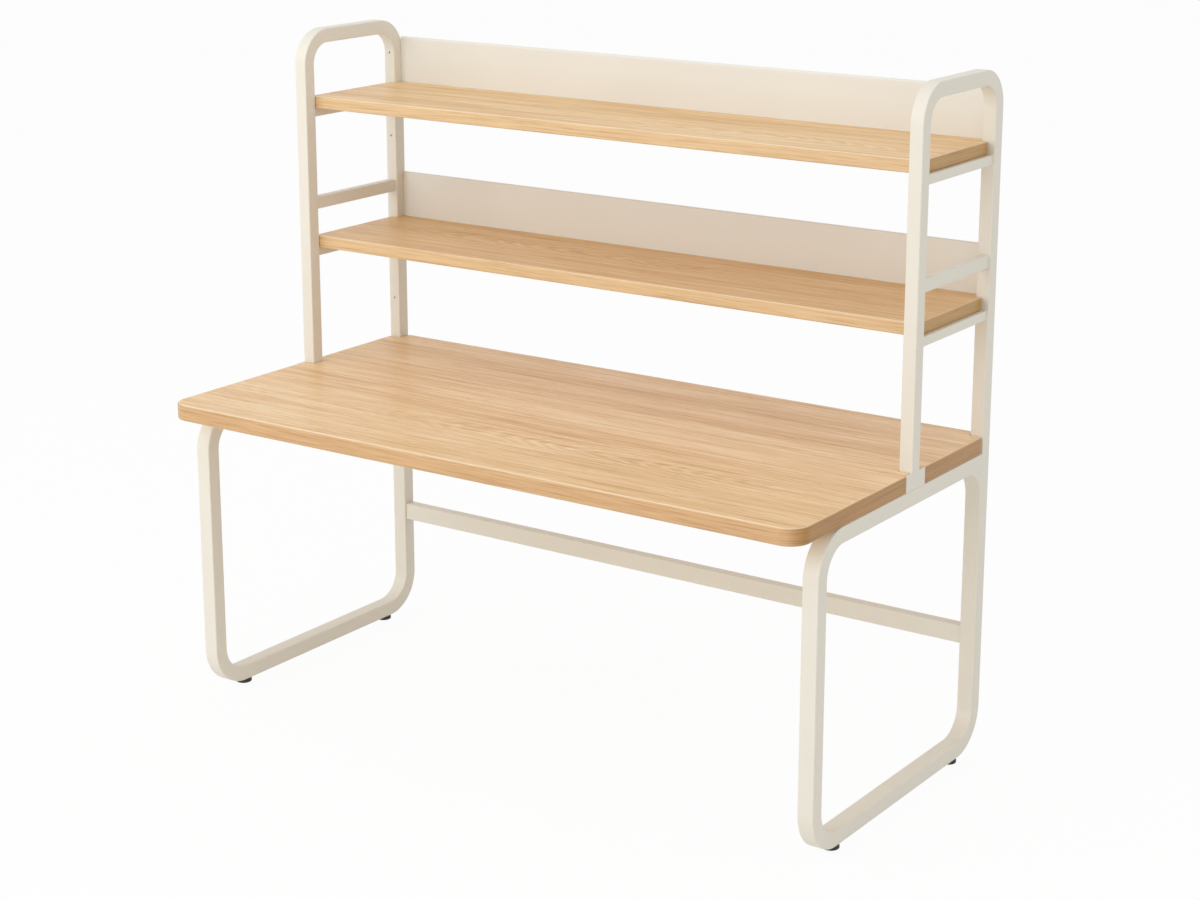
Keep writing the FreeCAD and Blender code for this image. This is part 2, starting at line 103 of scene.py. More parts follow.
print("cream in linear light:", [round(v, 3) for v in linear("#e9e2d4")])
print("desk top in millimetres:", measured("tabletop"))

# %% [markdown]
# ## Powder coat
# The tubes and the folded panels have a cream polyester powder coat: sprayed as dry powder and baked,
# so that it flows into a satin skin with a faint orange peel. The eye sees an even cream, soft
# highlights along the rounded edges and a slight waviness in the reflections. Real orange peel is about
# 1 mm, finer than a pixel here, so it is drawn at 5 mm. A second, very broad noise stands for the small
# changes in film thickness. The panels get a copy of the same coat, painted a shade less warm to
# offset the warm light that the oak throws on them.

# %% Cream polyester powder coat
FILM_PATCH = 220
ORANGE_PEEL = 5
PEEL_HEIGHT = 0.3
SATIN = {"To Min": 0.40, "To Max": 0.52}


def new_material(name):
    """An empty material and its tree."""
    material = bpy.data.materials.new(name)
    material.use_nodes = True
    material.node_tree.nodes.clear()
    return material, material.node_tree


def end_material(tree, settings):
    """Ends a material's tree in one surface with these settings."""
    surface = add(tree, "ShaderNodeBsdfPrincipled", settings)
    add(tree, "ShaderNodeOutputMaterial", {"Surface": surface})


def powder_coat(name, thin, thick):
    """Satin film whose tone drifts between that of a thin and a thick layer."""
    material, tree = new_material(name)
    place = add(tree, "ShaderNodeTexCoord").outputs["Object"]
    film = add(tree, "ShaderNodeTexNoise", {
        "Vector": place, "Scale": 1 / (FILM_PATCH * MM), "Detail": 2.0})
    tone = add(tree, "ShaderNodeMix", {
        "Factor": film, "A": linear(thin), "B": linear(thick)}, data_type="RGBA")
    peel = add(tree, "ShaderNodeTexNoise", {
        "Vector": place, "Scale": 1 / (ORANGE_PEEL * MM), "Detail": 1.0})
    bump = add(tree, "ShaderNodeBump", {"Height": peel, "Strength": 0.1, "Distance": PEEL_HEIGHT * MM})
    gloss = add(tree, "ShaderNodeMapRange", {"Value": peel, **SATIN})
    end_material(tree, {"Base Color": tone, "Roughness": gloss, "IOR": 1.5, "Normal": bump})
    return material


coat = powder_coat("cream polyester powder coat, baked", "#e3ddd0", "#e7e2d5")
# Painted light: this copy of the coat is tinted a shade less warm against the warm light that the oak
# throws on the panels.
sheet_coat_cooled_for_light = powder_coat("cream polyester powder coat, baked, on sheet", "#e3e0d7", "#e7e5dc")
print("made", coat.name, "and", sheet_coat_cooled_for_light.name)

# %% [markdown]
# ## Oak veneer
# The boards are faced with flat sliced oak. A flat slice cuts the yearly rings of a slightly tapered
# log at a low angle, so the ring lines run straight along the board and close into pointed arches over
# the middle of the log. That is drawn as it happens: the distance of each point from the log's axis,
# divided by the ring width, gives the ring, and the axis sinks or rises slowly along X. The rings show
# most over the heart of the log. Over them lie broad tone bands, crisp lines of early and late wood,
# and the short dark dashes of open pores. These are finer than a pixel on a real board, so they are
# drawn two or three times as wide. A satin lacquer gives a broad sheen.

# %% Satin lacquered oak, flat sliced veneer
RING_WIDTH = 5.2
HEART_NEAR = 20
HEART_FAR = 110
HEART_STRETCH = 5.0
PORE_BROWN = "#9a6d41"
PORE_SHARE = 0.2
GRAIN_HEIGHT = 0.25


def streaks(tree, place, length, width, swing, centre=0.0, detail=3.0):
    """Noise that swings about a centre, in cells of a length along X and a width along Y."""
    scaled = add(tree, "ShaderNodeMapping", {
        "Vector": place, "Scale": (1 / (length * MM), 1 / (width * MM), 1.0)})
    cells = add(tree, "ShaderNodeTexNoise", {
        "Vector": scaled, "Scale": 1.0, "Detail": detail, "Roughness": 0.6})
    return add(tree, "ShaderNodeMapRange", {
        "Value": cells, "From Min": 0.3, "From Max": 0.7, "To Min": centre - swing,
        "To Max": centre + swing})


def wood_colour(tree, patterns, tones):
    """Sum of the patterns, and the colour that it gives between a light, a middle and a dark tone."""
    tone = patterns[0]
    for pattern in patterns[1:]:
        tone = add(tree, "ShaderNodeMath", {0: tone, 1: pattern}, operation="ADD")
    colour = add(tree, "ShaderNodeValToRGB", {"Fac": tone})
    stops = colour.color_ramp.elements
    stops[0].color = linear(tones[0])
    stops[1].color = linear(tones[2])
    stops.new(0.5).color = linear(tones[1])
    return tone, colour


def oak_veneer(name, tones, heart, log_depth, taper):
    """Veneer with its figure round a heart in X and Y, over a log whose axis sinks by the taper."""
    material, tree = new_material(name)
    spot = add(tree, "ShaderNodeTexCoord").outputs["Object"]
    place = add(tree, "ShaderNodeMapping", {
        "Vector": spot, "Location": (-heart[0] * MM, -heart[1] * MM, 0.0)})
    axes = add(tree, "ShaderNodeSeparateXYZ", {"Vector": place}).outputs
    sway = streaks(tree, place, 420, 160, 10 * MM, detail=2.0)
    across = add(tree, "ShaderNodeMath", {0: axes["Y"], 1: sway}, operation="ADD")
    sink = add(tree, "ShaderNodeMath", {
        0: axes["X"], 1: taper, 2: log_depth * MM}, operation="MULTIPLY_ADD")
    wander = streaks(tree, place, 420, 900, 6 * MM, detail=2.0)
    depth = add(tree, "ShaderNodeMath", {0: sink, 1: wander}, operation="ADD")
    across_square = add(tree, "ShaderNodeMath", {0: across, 1: across}, operation="MULTIPLY")
    square = add(tree, "ShaderNodeMath", {
        0: depth, 1: depth, 2: across_square}, operation="MULTIPLY_ADD")
    radius = add(tree, "ShaderNodeMath", {0: square}, operation="SQRT")
    ruffle = streaks(tree, place, 90, 14, 1.8 * MM)
    ring_place = add(tree, "ShaderNodeMath", {0: radius, 1: ruffle}, operation="ADD")
    turn = add(tree, "ShaderNodeMath", {
        0: ring_place, 1: 2 * math.pi / (RING_WIDTH * MM)}, operation="MULTIPLY")
    ring_line = add(tree, "ShaderNodeMath", {0: turn}, operation="SINE")
    along = add(tree, "ShaderNodeMath", {0: axes["X"], 1: HEART_STRETCH}, operation="DIVIDE")
    off_square = add(tree, "ShaderNodeMath", {
        0: along, 1: along, 2: across_square}, operation="MULTIPLY_ADD")
    off_heart = add(tree, "ShaderNodeMath", {0: off_square}, operation="SQRT")
    figure = add(tree, "ShaderNodeMapRange", {
        "Value": off_heart, "From Min": HEART_NEAR * MM, "From Max": HEART_FAR * MM, "To Min": 0.17,
        "To Max": 0.04})

    rings = add(tree, "ShaderNodeMath", {0: ring_line, 1: figure, 2: 0.5}, operation="MULTIPLY_ADD")
    bands = streaks(tree, place, 1100, 70, 0.2)
    lines = streaks(tree, place, 450, 8, 0.22)
    fine = streaks(tree, place, 170, 4.2, 0.28)
    tone, colour = wood_colour(tree, [rings, bands, lines, fine], tones)

    pores = streaks(tree, place, 34, 3.0, 1.5, centre=-0.5, detail=1.0)
    pore_share = add(tree, "ShaderNodeMath", {
        0: pores, 1: PORE_SHARE}, operation="MULTIPLY", use_clamp=True)
    shade = add(tree, "ShaderNodeMix", {
        "Factor": pore_share, "A": colour, "B": linear(PORE_BROWN)}, data_type="RGBA")
    grain = add(tree, "ShaderNodeMath", {0: fine, 1: pore_share}, operation="SUBTRACT")
    bump = add(tree, "ShaderNodeBump", {"Height": grain, "Strength": 0.15, "Distance": GRAIN_HEIGHT * MM})
    gloss = add(tree, "ShaderNodeMapRange", {"Value": tone, **SATIN})
    end_material(tree, {
        "Base Color": shade, "Roughness": gloss, "IOR": 1.5, "Specular IOR Level": 0.35,
        "Coat Weight": 0.12, "Coat Roughness": 0.24, "Normal": bump})
    return material


TOP_TONES = ("#fae2bc", "#edc897", "#cfa26a")
SHELF_TONES = ("#f4d7ab", "#e5bd87", "#c8985d")
VENEER = "satin lacquered oak, sliced veneer, "
top_veneer = oak_veneer(VENEER + "desk top", TOP_TONES, (150, -190), 78, -0.085)
shelf_veneers = {
    "lower": oak_veneer(VENEER + "lower shelf", SHELF_TONES, (-250, 270), 85, -0.08),
    "upper": oak_veneer(VENEER + "upper shelf", SHELF_TONES, (420, 170), 90, 0.08),
}
print("made", top_veneer.name, "and", len(shelf_veneers), "shelf veneers")

# %% [markdown]
# ## Oak edge band
# The rims of the boards are thick oak edge bands. Their grain runs round the board, not along X, so
# this finish reads a UV map that the boards carry: U is the distance along the rim in metres and V the
# height. The band is cut from solid wood, warmer than the veneer, with fine lengthwise lines. Where a
# face looks along X, at the board ends, the finish is painted browner as painted shade. Along the upper
# rim the finish is painted paler as a painted highlight, less so at the ends, so that the rim stands out
# as a light line.

# %% Satin lacquered oak, solid edge band
# The first colour below is painted shade for the board ends, the second a painted highlight for the upper
# rim.
END_SHADE = "#d6c38a"
RIM_HIGHLIGHT = "#f3dfbd"
BAND_GRAIN_HEIGHT = 0.2


def oak_band(name, tones):
    """Solid wood with its grain along the rim, painted shade at board ends and a painted highlight on the
    upper rim.
    """
    material, tree = new_material(name)
    run = add(tree, "ShaderNodeUVMap", uv_map="rim")
    lines = streaks(tree, run, 240, 4.0, 0.35, centre=0.5)
    fine = streaks(tree, run, 110, 2.2, 0.34)
    tone, colour = wood_colour(tree, [lines, fine], tones)
    normal = add(tree, "ShaderNodeTexCoord").outputs["Normal"]
    facing = add(tree, "ShaderNodeSeparateXYZ", {"Vector": normal}).outputs
    along = add(tree, "ShaderNodeMath", {0: facing["X"]}, operation="ABSOLUTE")
    # Painted shade: the finish is darkened where a face looks along X.
    end_shade_share = add(tree, "ShaderNodeMapRange", {"Value": along, "From Min": 0.4, "From Max": 0.95})
    end_shaded = add(tree, "ShaderNodeMix", {
        "Factor": end_shade_share, "A": colour, "B": linear(END_SHADE)}, data_type="RGBA", blend_type="MULTIPLY")
    # Painted highlight: the upper rim is painted paler, less so on faces that look along X.
    rim_highlight_share = add(tree, "ShaderNodeMapRange", {"Value": facing["Z"], "From Min": 0.5, "From Max": 0.9})
    highlight_front_share = add(tree, "ShaderNodeMapRange", {
        "Value": along, "From Max": 0.5, "To Min": 1.0, "To Max": 0.2})
    highlight_share = add(tree, "ShaderNodeMath", {0: rim_highlight_share, 1: highlight_front_share}, operation="MULTIPLY")
    highlighted = add(tree, "ShaderNodeMix", {
        "Factor": highlight_share, "A": end_shaded, "B": linear(RIM_HIGHLIGHT)}, data_type="RGBA")
    bump = add(tree, "ShaderNodeBump", {
        "Height": tone, "Strength": 0.1, "Distance": BAND_GRAIN_HEIGHT * MM})
    end_material(tree, {
        "Base Color": highlighted, "Roughness": 0.42, "IOR": 1.5, "Coat Weight": 0.3, "Coat Roughness": 0.22,
        "Normal": bump})
    return material


top_band = oak_band("satin lacquered oak, desk top edge band", ("#dab281", "#cea473", "#b58754"))
shelf_band = oak_band("satin lacquered oak, shelf edge band", ("#e5c394", "#dab787", "#c09665"))
print("made", top_band.name, "and", shelf_band.name)

# %% [markdown]
# ## Zinc plated steel and black nylon
# Screws, bolts and studs are steel with a bright zinc plating: a bluish white metal whose crystals
# leave a soft, slightly blotchy sheen. The glides are moulded black nylon: nearly black, half matt,
# with the fine grain of a spark-eroded mould. That grain is drawn at 0.8 mm so that it shows close up.

# %% Bright zinc plating and moulded nylon
ZINC_BLOOM = 4
MOULD_GRAIN = 0.8
MOULD_GRAIN_HEIGHT = 0.1


def zinc_plating():
    """Bluish white metal with a blotchy gloss."""
    material, tree = new_material("bright zinc plated steel")
    place = add(tree, "ShaderNodeTexCoord").outputs["Object"]
    bloom = add(tree, "ShaderNodeTexNoise", {
        "Vector": place, "Scale": 1 / (ZINC_BLOOM * MM), "Detail": 3.0})
    colour = add(tree, "ShaderNodeMix", {
        "Factor": bloom, "A": linear("#c9ccd0"), "B": linear("#b3b6ae")}, data_type="RGBA")
    gloss = add(tree, "ShaderNodeMapRange", {"Value": bloom, "To Min": 0.25, "To Max": 0.48})
    end_material(tree, {"Base Color": colour, "Metallic": 1.0, "Roughness": gloss})
    return material


def moulded_nylon():
    """Near black plastic with the grain of its mould."""
    material, tree = new_material("black nylon, injection moulded")
    place = add(tree, "ShaderNodeTexCoord").outputs["Object"]
    grain = add(tree, "ShaderNodeTexNoise", {
        "Vector": place, "Scale": 1 / (MOULD_GRAIN * MM), "Detail": 2.0})
    tone = add(tree, "ShaderNodeMix", {
        "Factor": grain, "A": linear("#141414"), "B": linear("#232324")}, data_type="RGBA")
    bump = add(tree, "ShaderNodeBump", {
        "Height": grain, "Strength": 0.3, "Distance": MOULD_GRAIN_HEIGHT * MM})
    end_material(tree, {"Base Color": tone, "Roughness": 0.5, "IOR": 1.53, "Normal": bump})
    return material


zinc = zinc_plating()
nylon = moulded_nylon()
print("made", zinc.name, "and", nylon.name)

# %% [markdown]
# ## How a piece is finished
# Tubes, beads, screws and glides come out of Geometry Nodes trees. A tree works on a guide: a mesh of
# bare points or lines. One helper runs the tree and keeps the result as a plain mesh. A last helper
# shades every piece in one way: edges sharper than a limit stay crisp, and normals weighted by face
# area keep the flats of a tube flat beside its small round edges. It then lets the piece ride on its
# body in the place of its solids.

# %% Objects, plain meshes and guides


def hold(name, content):
    """Object in the scene that holds a mesh, a lamp or a camera."""
    holder = bpy.data.objects.new(name, content)
    scene.collection.objects.link(holder)
    return holder


def drop(holder):
    """Deletes an object and its mesh."""
    mesh = holder.data
    bpy.data.objects.remove(holder)
    bpy.data.meshes.remove(mesh)


def plain_mesh(holder):
    """Mesh of an object as its modifiers leave it. The object itself is deleted."""
    made = bpy.data.meshes.new_from_object(holder.evaluated_get(bpy.context.evaluated_depsgraph_get()))
    drop(holder)
    return made


def guide_mesh(lines):
    """Mesh of lines in millimetres. A line is closed where its last point repeats its first."""
    points = []
    edges = []
    for line in lines:
        closed = len(line) > 2 and line[0] == line[-1]
        kept = line[:-1] if closed else line
        first = len(points)
        points += [Vector(p) * MM for p in kept]
        edges += [(first + i, first + i + 1) for i in range(len(kept) - 1)]
        if closed:
            edges.append((len(points) - 1, first))
    mesh = bpy.data.meshes.new("guide")
    mesh.from_pydata(points, edges, [])
    return mesh


# %% Running a tree
SIZE = "NodeSocketFloat"
SAME_POINT = 0.002


def start_tree(title, inputs):
    """A tree that takes geometry, named inputs and a finish and gives geometry, and its input sockets."""
    tree = bpy.data.node_groups.new(title, "GeometryNodeTree")
    kinds = {"Geometry": "NodeSocketGeometry", **inputs, "Finish": "NodeSocketMaterial"}
    for name, kind in kinds.items():
        tree.interface.new_socket(name, in_out="INPUT", socket_type=kind)
    tree.interface.new_socket("Geometry", in_out="OUTPUT", socket_type="NodeSocketGeometry")
    return tree, add(tree, "NodeGroupInput").outputs


def end_tree(tree, geometry, given):
    """Makes instances real, sets the finish and ends the tree."""
    real = add(tree, "GeometryNodeRealizeInstances", {"Geometry": geometry})
    painted = add(tree, "GeometryNodeSetMaterial", {"Geometry": real, "Material": given["Finish"]})
    add(tree, "NodeGroupOutput", {"Geometry": painted})
    print("tree", tree.name, "with", len(tree.nodes), "nodes")
    return tree


def grow(mesh, tree, values):
    """Runs a tree on a guide mesh and returns the result as a plain mesh with its faces outwards."""
    guide = hold("guide", mesh)
    modifier = guide.modifiers.new("grow", "NODES")
    modifier.node_group = tree
    for socket in tree.interface.items_tree:
        if socket.in_out == "INPUT" and socket.name in values:
            modifier[socket.identifier] = values[socket.name]
    made = plain_mesh(guide)
    shell = bmesh.new()
    shell.from_mesh(made)
    bmesh.ops.remove_doubles(shell, verts=shell.verts, dist=SAME_POINT * MM)
    bmesh.ops.recalc_face_normals(shell, faces=shell.faces)
    shell.to_mesh(made)
    shell.free()
    return made


print("points closer than", SAME_POINT, "mm are merged")

# %% A finished piece


def settle(name, mesh, nodes, body="frame", sharp_degrees=35):
    """Shades a mesh as a piece at the origin that rides on a body, in the place of CAD nodes."""
    mesh.shade_smooth()
    mesh.set_sharp_from_angle(angle=math.radians(sharp_degrees))
    rough = hold(name + "_rough", mesh)
    weighted = rough.modifiers.new("flat faces first", "WEIGHTED_NORMAL")
    weighted.keep_sharp = True
    shaded = plain_mesh(rough)
    shaded.name = name
    piece = hold(name, shaded)
    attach(piece, body)
    if nodes:
        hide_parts(*nodes)
    print(name, "on", body, "with", len(shaded.polygons), "faces")


# %% [markdown]
# ## Bent tubes
# Every tube of the real frame is a straight length of rounded rectangular tube, bent cold on a mandrel.
# A sweep says the same thing: a line with corners, a bend radius and a section. The tree rounds the
# corners of the guide with a Fillet, stands the section square to the bend plane and sweeps it along.
# The leg loop is one ring whose upper rear corner also runs on straight, up to the post on which the
# hutch stands, so its overlapping sweeps are united.

# %% The tube tree


def tube_tree():
    """Rounded rectangular section along the guide's lines, with bends at their corners."""
    tree, given = start_tree("bent tube", {
        "Across": "NodeSocketVector", "Width across": SIZE, "Depth in bend": SIZE, "Edge radius": SIZE,
        "Bend radius": SIZE, "Unite": "NodeSocketBool"})
    path = add(tree, "GeometryNodeMeshToCurve", {"Mesh": given["Geometry"]})
    bent = add(tree, "GeometryNodeFilletCurve", {
        "Curve": path, "Count": 20, "Radius": given["Bend radius"]}, mode="POLY")
    squared = add(tree, "GeometryNodeSetCurveNormal", {
        "Curve": bent, "Normal": given["Across"]}, mode="FREE")
    corners = add(tree, "GeometryNodeCurvePrimitiveQuadrilateral", {
        "Width": given["Width across"], "Height": given["Depth in bend"]})
    section = add(tree, "GeometryNodeFilletCurve", {
        "Curve": corners, "Count": 5, "Radius": given["Edge radius"]}, mode="POLY")
    swept = add(tree, "GeometryNodeCurveToMesh", {
        "Curve": squared, "Profile Curve": section, "Fill Caps": True})
    united = add(tree, "GeometryNodeMeshBoolean", {
        "Mesh 2": swept, "Self Intersection": True}, operation="UNION", solver="EXACT")
    either = add(tree, "GeometryNodeSwitch", {
        "Switch": given["Unite"], "False": swept, "True": united}, input_type="GEOMETRY")
    return end_tree(tree, either, given)


tubes = tube_tree()


def tube(lines, across, width, depth, edge, bend=0, unite=False):
    """Mesh of tubes along guide lines, with the bend radius of their centre lines, all in millimetres."""
    return grow(guide_mesh(lines), tubes, {
        "Across": across, "Width across": width * MM, "Depth in bend": depth * MM,
        "Edge radius": edge * MM, "Bend radius": bend * MM, "Unite": unite, "Finish": coat})


# %% [markdown]
# ## Drilled holes
# Some holes show: the row of 5 mm holes down the left rear upright, the set screw holes in the rear
# faces, and the stud holes under the floor rails when a foot is screwed out. Each is a real pocket in
# the mesh. The tree puts a cylinder on every guide point, half of it outside the tube, and takes all of
# them away in one go.

# %% The drill tree
ALONG_Y = (math.pi / 2, 0.0, 0.0)
ALONG_Z = (0.0, 0.0, 0.0)


def drill_tree():
    """A tube less a cylinder at each point of the guide."""
    tree, given = start_tree("drilled holes", {
        "Tube": "NodeSocketObject", "Aim": "NodeSocketRotation", "Hole radius": SIZE, "Hole depth": SIZE})
    places = add(tree, "GeometryNodeMeshToPoints", {"Mesh": given["Geometry"]})
    length = add(tree, "ShaderNodeMath", {0: given["Hole depth"], 1: 2.0}, operation="MULTIPLY")
    bit = add(tree, "GeometryNodeMeshCylinder", {
        "Vertices": 24, "Radius": given["Hole radius"], "Depth": length})
    bits = add(tree, "GeometryNodeInstanceOnPoints", {
        "Points": places, "Instance": bit, "Rotation": given["Aim"]})
    real = add(tree, "GeometryNodeRealizeInstances", {"Geometry": bits})
    whole = add(tree, "GeometryNodeObjectInfo", {"Object": given["Tube"]}).outputs["Geometry"]
    drilled = add(tree, "GeometryNodeMeshBoolean", {
        "Mesh 1": whole, "Mesh 2": real}, operation="DIFFERENCE", solver="EXACT")
    return end_tree(tree, drilled, given)


drills = drill_tree()


def drill(mesh, points, aim, hole):
    """The mesh with holes of a diameter and depth at points on its surface, all in millimetres."""
    diameter, depth = hole
    whole = hold("undrilled", mesh)
    made = grow(guide_mesh([[p] for p in points]), drills, {
        "Tube": whole, "Aim": aim, "Hole radius": diameter / 2 * MM, "Hole depth": depth * MM,
        "Finish": coat})
    drop(whole)
    return made


# %% [markdown]
# ## Leg loops
# Each leg is a closed ring of 36 by 34 mm tube: front leg, floor rail, rear leg and top rail, with
# bends of 95 mm outside radius. At the upper rear corner the post goes on straight to the underside of
# the desk top.

# %% Leg loops
SIDES = {"left": -1, "right": 1}
ACROSS_X = (1, 0, 0)
TUBE_EDGE = 2.5
LEG_DEPTH = 34
LEG_BEND = 95
SPIGOT_LOCK = 35
SET_SCREW_HOLE = (6.2, 10.3)
STUD_HOLE = (8.6, 20)
desk_low, desk_high = measured("tabletop")
FRONT, UNDERSIDE = desk_low[1:]
HALF_WIDTH, REAR, DESK_TOP = desk_high
leg_low, leg_high = measured("right_front_leg_frame")
LEG_WIDTH = leg_high[0] - leg_low[0]
LEG_X = HALF_WIDTH - LEG_WIDTH / 2
LEG_FRONT, FOOT_HEIGHT = leg_low[1:]
FOOT_Y = {end: middle(end + "_right_foot_pad")[1] for end in ("front", "rear")}
HUTCH_X = middle("right_hutch_frame")[0]


def leg_lines(x):
    """Centre lines of a leg: the ring, the straight post and the straight end of the top rail."""
    half = LEG_DEPTH / 2
    low, high = FOOT_HEIGHT + half, UNDERSIDE - half
    front, rear = LEG_FRONT + half, REAR - half
    ring = [(x, front, low), (x, front, high), (x, rear, high), (x, rear, low), (x, front, low)]
    post = [(x, rear, UNDERSIDE - LEG_BEND), (x, rear, UNDERSIDE)]
    rail_end = [(x, REAR - LEG_BEND, high), (x, rear, high)]
    return [ring, post, rail_end]


for side, sign in SIDES.items():
    loop = tube(leg_lines(sign * LEG_X), ACROSS_X, LEG_WIDTH, LEG_DEPTH, TUBE_EDGE,
                LEG_BEND - LEG_DEPTH / 2, unite=True)
    loop = drill(loop, [(sign * HUTCH_X, REAR, UNDERSIDE - SPIGOT_LOCK)], ALONG_Y, SET_SCREW_HOLE)
    loop = drill(loop, [(sign * LEG_X, y, FOOT_HEIGHT) for y in FOOT_Y.values()], ALONG_Z, STUD_HOLE)
    settle(side + "_leg_tube", loop, [side + "_front_leg_frame", side + "_rear_leg_frame"])

# %% [markdown]
# ## Hutch frames
# The hutch stands on two bows of lighter tube, 30 by 32 mm. The rear end stands on the leg's post and
# the front end on the socket in the desk top's edge. The left bow has a row of small holes in the front
# of its rear upright.

# %% Hutch frames
HUTCH_DEPTH = 32
HUTCH_BEND = 80
ROW_HOLE = (5, 9)
ROW_DROP = 81
ROW_PITCH = 199
ROW_COUNT = 4
hutch_low, hutch_high = measured("right_hutch_frame")
HUTCH_WIDTH = hutch_high[0] - hutch_low[0]
HUTCH_TOP = hutch_high[2]
UPRIGHT_Y = hutch_low[1] + HUTCH_DEPTH / 2
UPRIGHT_BACK = hutch_low[1] + HUTCH_DEPTH
LOCKS = [(REAR, UNDERSIDE - SPIGOT_LOCK), (REAR, UNDERSIDE + SPIGOT_LOCK),
         (UPRIGHT_BACK, DESK_TOP + SPIGOT_LOCK)]

for side, sign in SIDES.items():
    x = sign * HUTCH_X
    rear = REAR - HUTCH_DEPTH / 2
    top = HUTCH_TOP - HUTCH_DEPTH / 2
    bow_line = [(x, rear, UNDERSIDE), (x, rear, top), (x, UPRIGHT_Y, top), (x, UPRIGHT_Y, DESK_TOP)]
    bow = tube([bow_line], ACROSS_X, HUTCH_WIDTH, HUTCH_DEPTH, TUBE_EDGE, HUTCH_BEND - HUTCH_DEPTH / 2)
    bow = drill(bow, [(x, y, z) for y, z in LOCKS[1:]], ALONG_Y, SET_SCREW_HOLE)
    if side == "left":
        row = [(x, REAR - HUTCH_DEPTH, HUTCH_TOP - ROW_DROP - ROW_PITCH * k) for k in range(ROW_COUNT)]
        bow = drill(bow, row, ALONG_Y, ROW_HOLE)
    settle(side + "_hutch_tube", bow, [side + "_hutch_frame"])

# %% [markdown]
# ## Cross bars and stretcher
# Short 20 mm bars join the uprights: one under each shelf end, and a taller guard bar over the lower
# shelf. A 40 by 25 mm stretcher joins the rear legs. All are straight runs through the same tree, as
# long and as thick as the boxes of their solids.

# %% Cross bars and stretcher
ACROSS_Y = (0, 1, 0)
BAR_EDGE = 1.5
SET_SCREW_RADIUS = 3
BAR_NAMES = ("lower_shelf_bar", "upper_shelf_bar", "guard_bar")
BARS = [side + "_" + name for side in SIDES for name in BAR_NAMES]

for node in BARS:
    low, high = measured(node)
    x, y, z = middle(node)
    bar_line = [(x, low[1], z), (x, high[1], z)]
    bar = tube([bar_line], ACROSS_X, high[0] - low[0], high[2] - low[2], BAR_EDGE)
    settle(node + "_tube", bar, [node])

low, high = measured("rear_stretcher")
x, y, z = middle("rear_stretcher")
stretcher_line = [(low[0], y, z), (high[0], y, z)]
stretcher = tube([stretcher_line], ACROSS_Y, high[1] - low[1], high[2] - low[2], BAR_EDGE)
plug_screw_x = measured("stretcher_screws")[1][0] - SET_SCREW_RADIUS
plug_screws = [(sign * plug_screw_x, high[1], z) for sign in SIDES.values()]
stretcher = drill(stretcher, plug_screws, ALONG_Y, SET_SCREW_HOLE)
settle("rear_stretcher_tube", stretcher, ["rear_stretcher"])

# %% [markdown]
# ## Weld beads
# The cross bars are welded to the uprights all round, before coating. A small bead runs round each bar
# end, with the fine ripple that a pulsed arc leaves. The guide is a rectangle round the bar, and the
# tree rounds its corners, divides it evenly and sweeps a small circle along it whose radius swells and
# shrinks.

# %% Weld beads
BEAD_RADIUS = 1.0
BEAD_CORNER = 2.0
BEAD_RIPPLE = 0.5
RIPPLE_LENGTH = 2.2
BEAD_STEP = 0.8


def bead_tree():
    """Rippled bead along the guide's lines."""
    tree, given = start_tree("weld bead", {"Bead radius": SIZE, "Corner radius": SIZE, "Ripple": SIZE})
    path = add(tree, "GeometryNodeMeshToCurve", {"Mesh": given["Geometry"]})
    rounded = add(tree, "GeometryNodeFilletCurve", {
        "Curve": path, "Count": 4, "Radius": given["Corner radius"]}, mode="POLY")
    even = add(tree, "GeometryNodeResampleCurve", {
        "Curve": rounded, "Length": BEAD_STEP * MM}, mode="LENGTH")
    spot = add(tree, "GeometryNodeInputPosition")
    noise = add(tree, "ShaderNodeTexNoise", {
        "Vector": spot, "Scale": 1 / (RIPPLE_LENGTH * MM), "Detail": 1.0})
    ripple = add(tree, "ShaderNodeMath", {
        0: noise, 1: given["Ripple"], 2: given["Bead radius"]}, operation="MULTIPLY_ADD")
    ring = add(tree, "GeometryNodeCurvePrimitiveCircle", {"Resolution": 8, "Radius": 1.0})
    bead = add(tree, "GeometryNodeCurveToMesh", {"Curve": even, "Profile Curve": ring, "Scale": ripple})
    return end_tree(tree, bead, given)


bead_lines = []
for node in BARS:
    low, high = measured(node)
    corners = [(low[0], low[2]), (high[0], low[2]), (high[0], high[2]), (low[0], high[2])]
    for y in (low[1], high[1]):
        bead_lines.append([(x, y, z) for x, z in corners + corners[:1]])
beads = grow(guide_mesh(bead_lines), bead_tree(), {
    "Bead radius": BEAD_RADIUS * MM, "Corner radius": BEAD_CORNER * MM, "Ripple": BEAD_RIPPLE * MM,
    "Finish": coat})
settle("bar_weld_beads", beads, [], sharp_degrees=60)

# %% [markdown]
# ## Boards
# A board is an outline with rounded corners, pulled up to its thickness, with a small round on the
# upper and lower rim. It is built as a stack of outlines: each is the same outline moved inwards by the
# amount that the round asks for at that height. Sides that are cut afterwards, such as the recess for a
# socket, stay where they are and so stay sharp. The same builder makes the sockets. The rim's faces get
# the UV map that the edge band reads.

# %% The board builder
WIDE_CORNER = 20
WIDE_CORNER_STEPS = 14
CORNER_STEPS = 6
RIM_STEPS = 5


def to_mesh(shell, *materials):
    """Plain mesh of a bmesh, which is freed, with materials in its slots."""
    mesh = bpy.data.meshes.new("shape")
    shell.to_mesh(mesh)
    shell.free()
    for material in materials:
        mesh.materials.append(material)
    return mesh


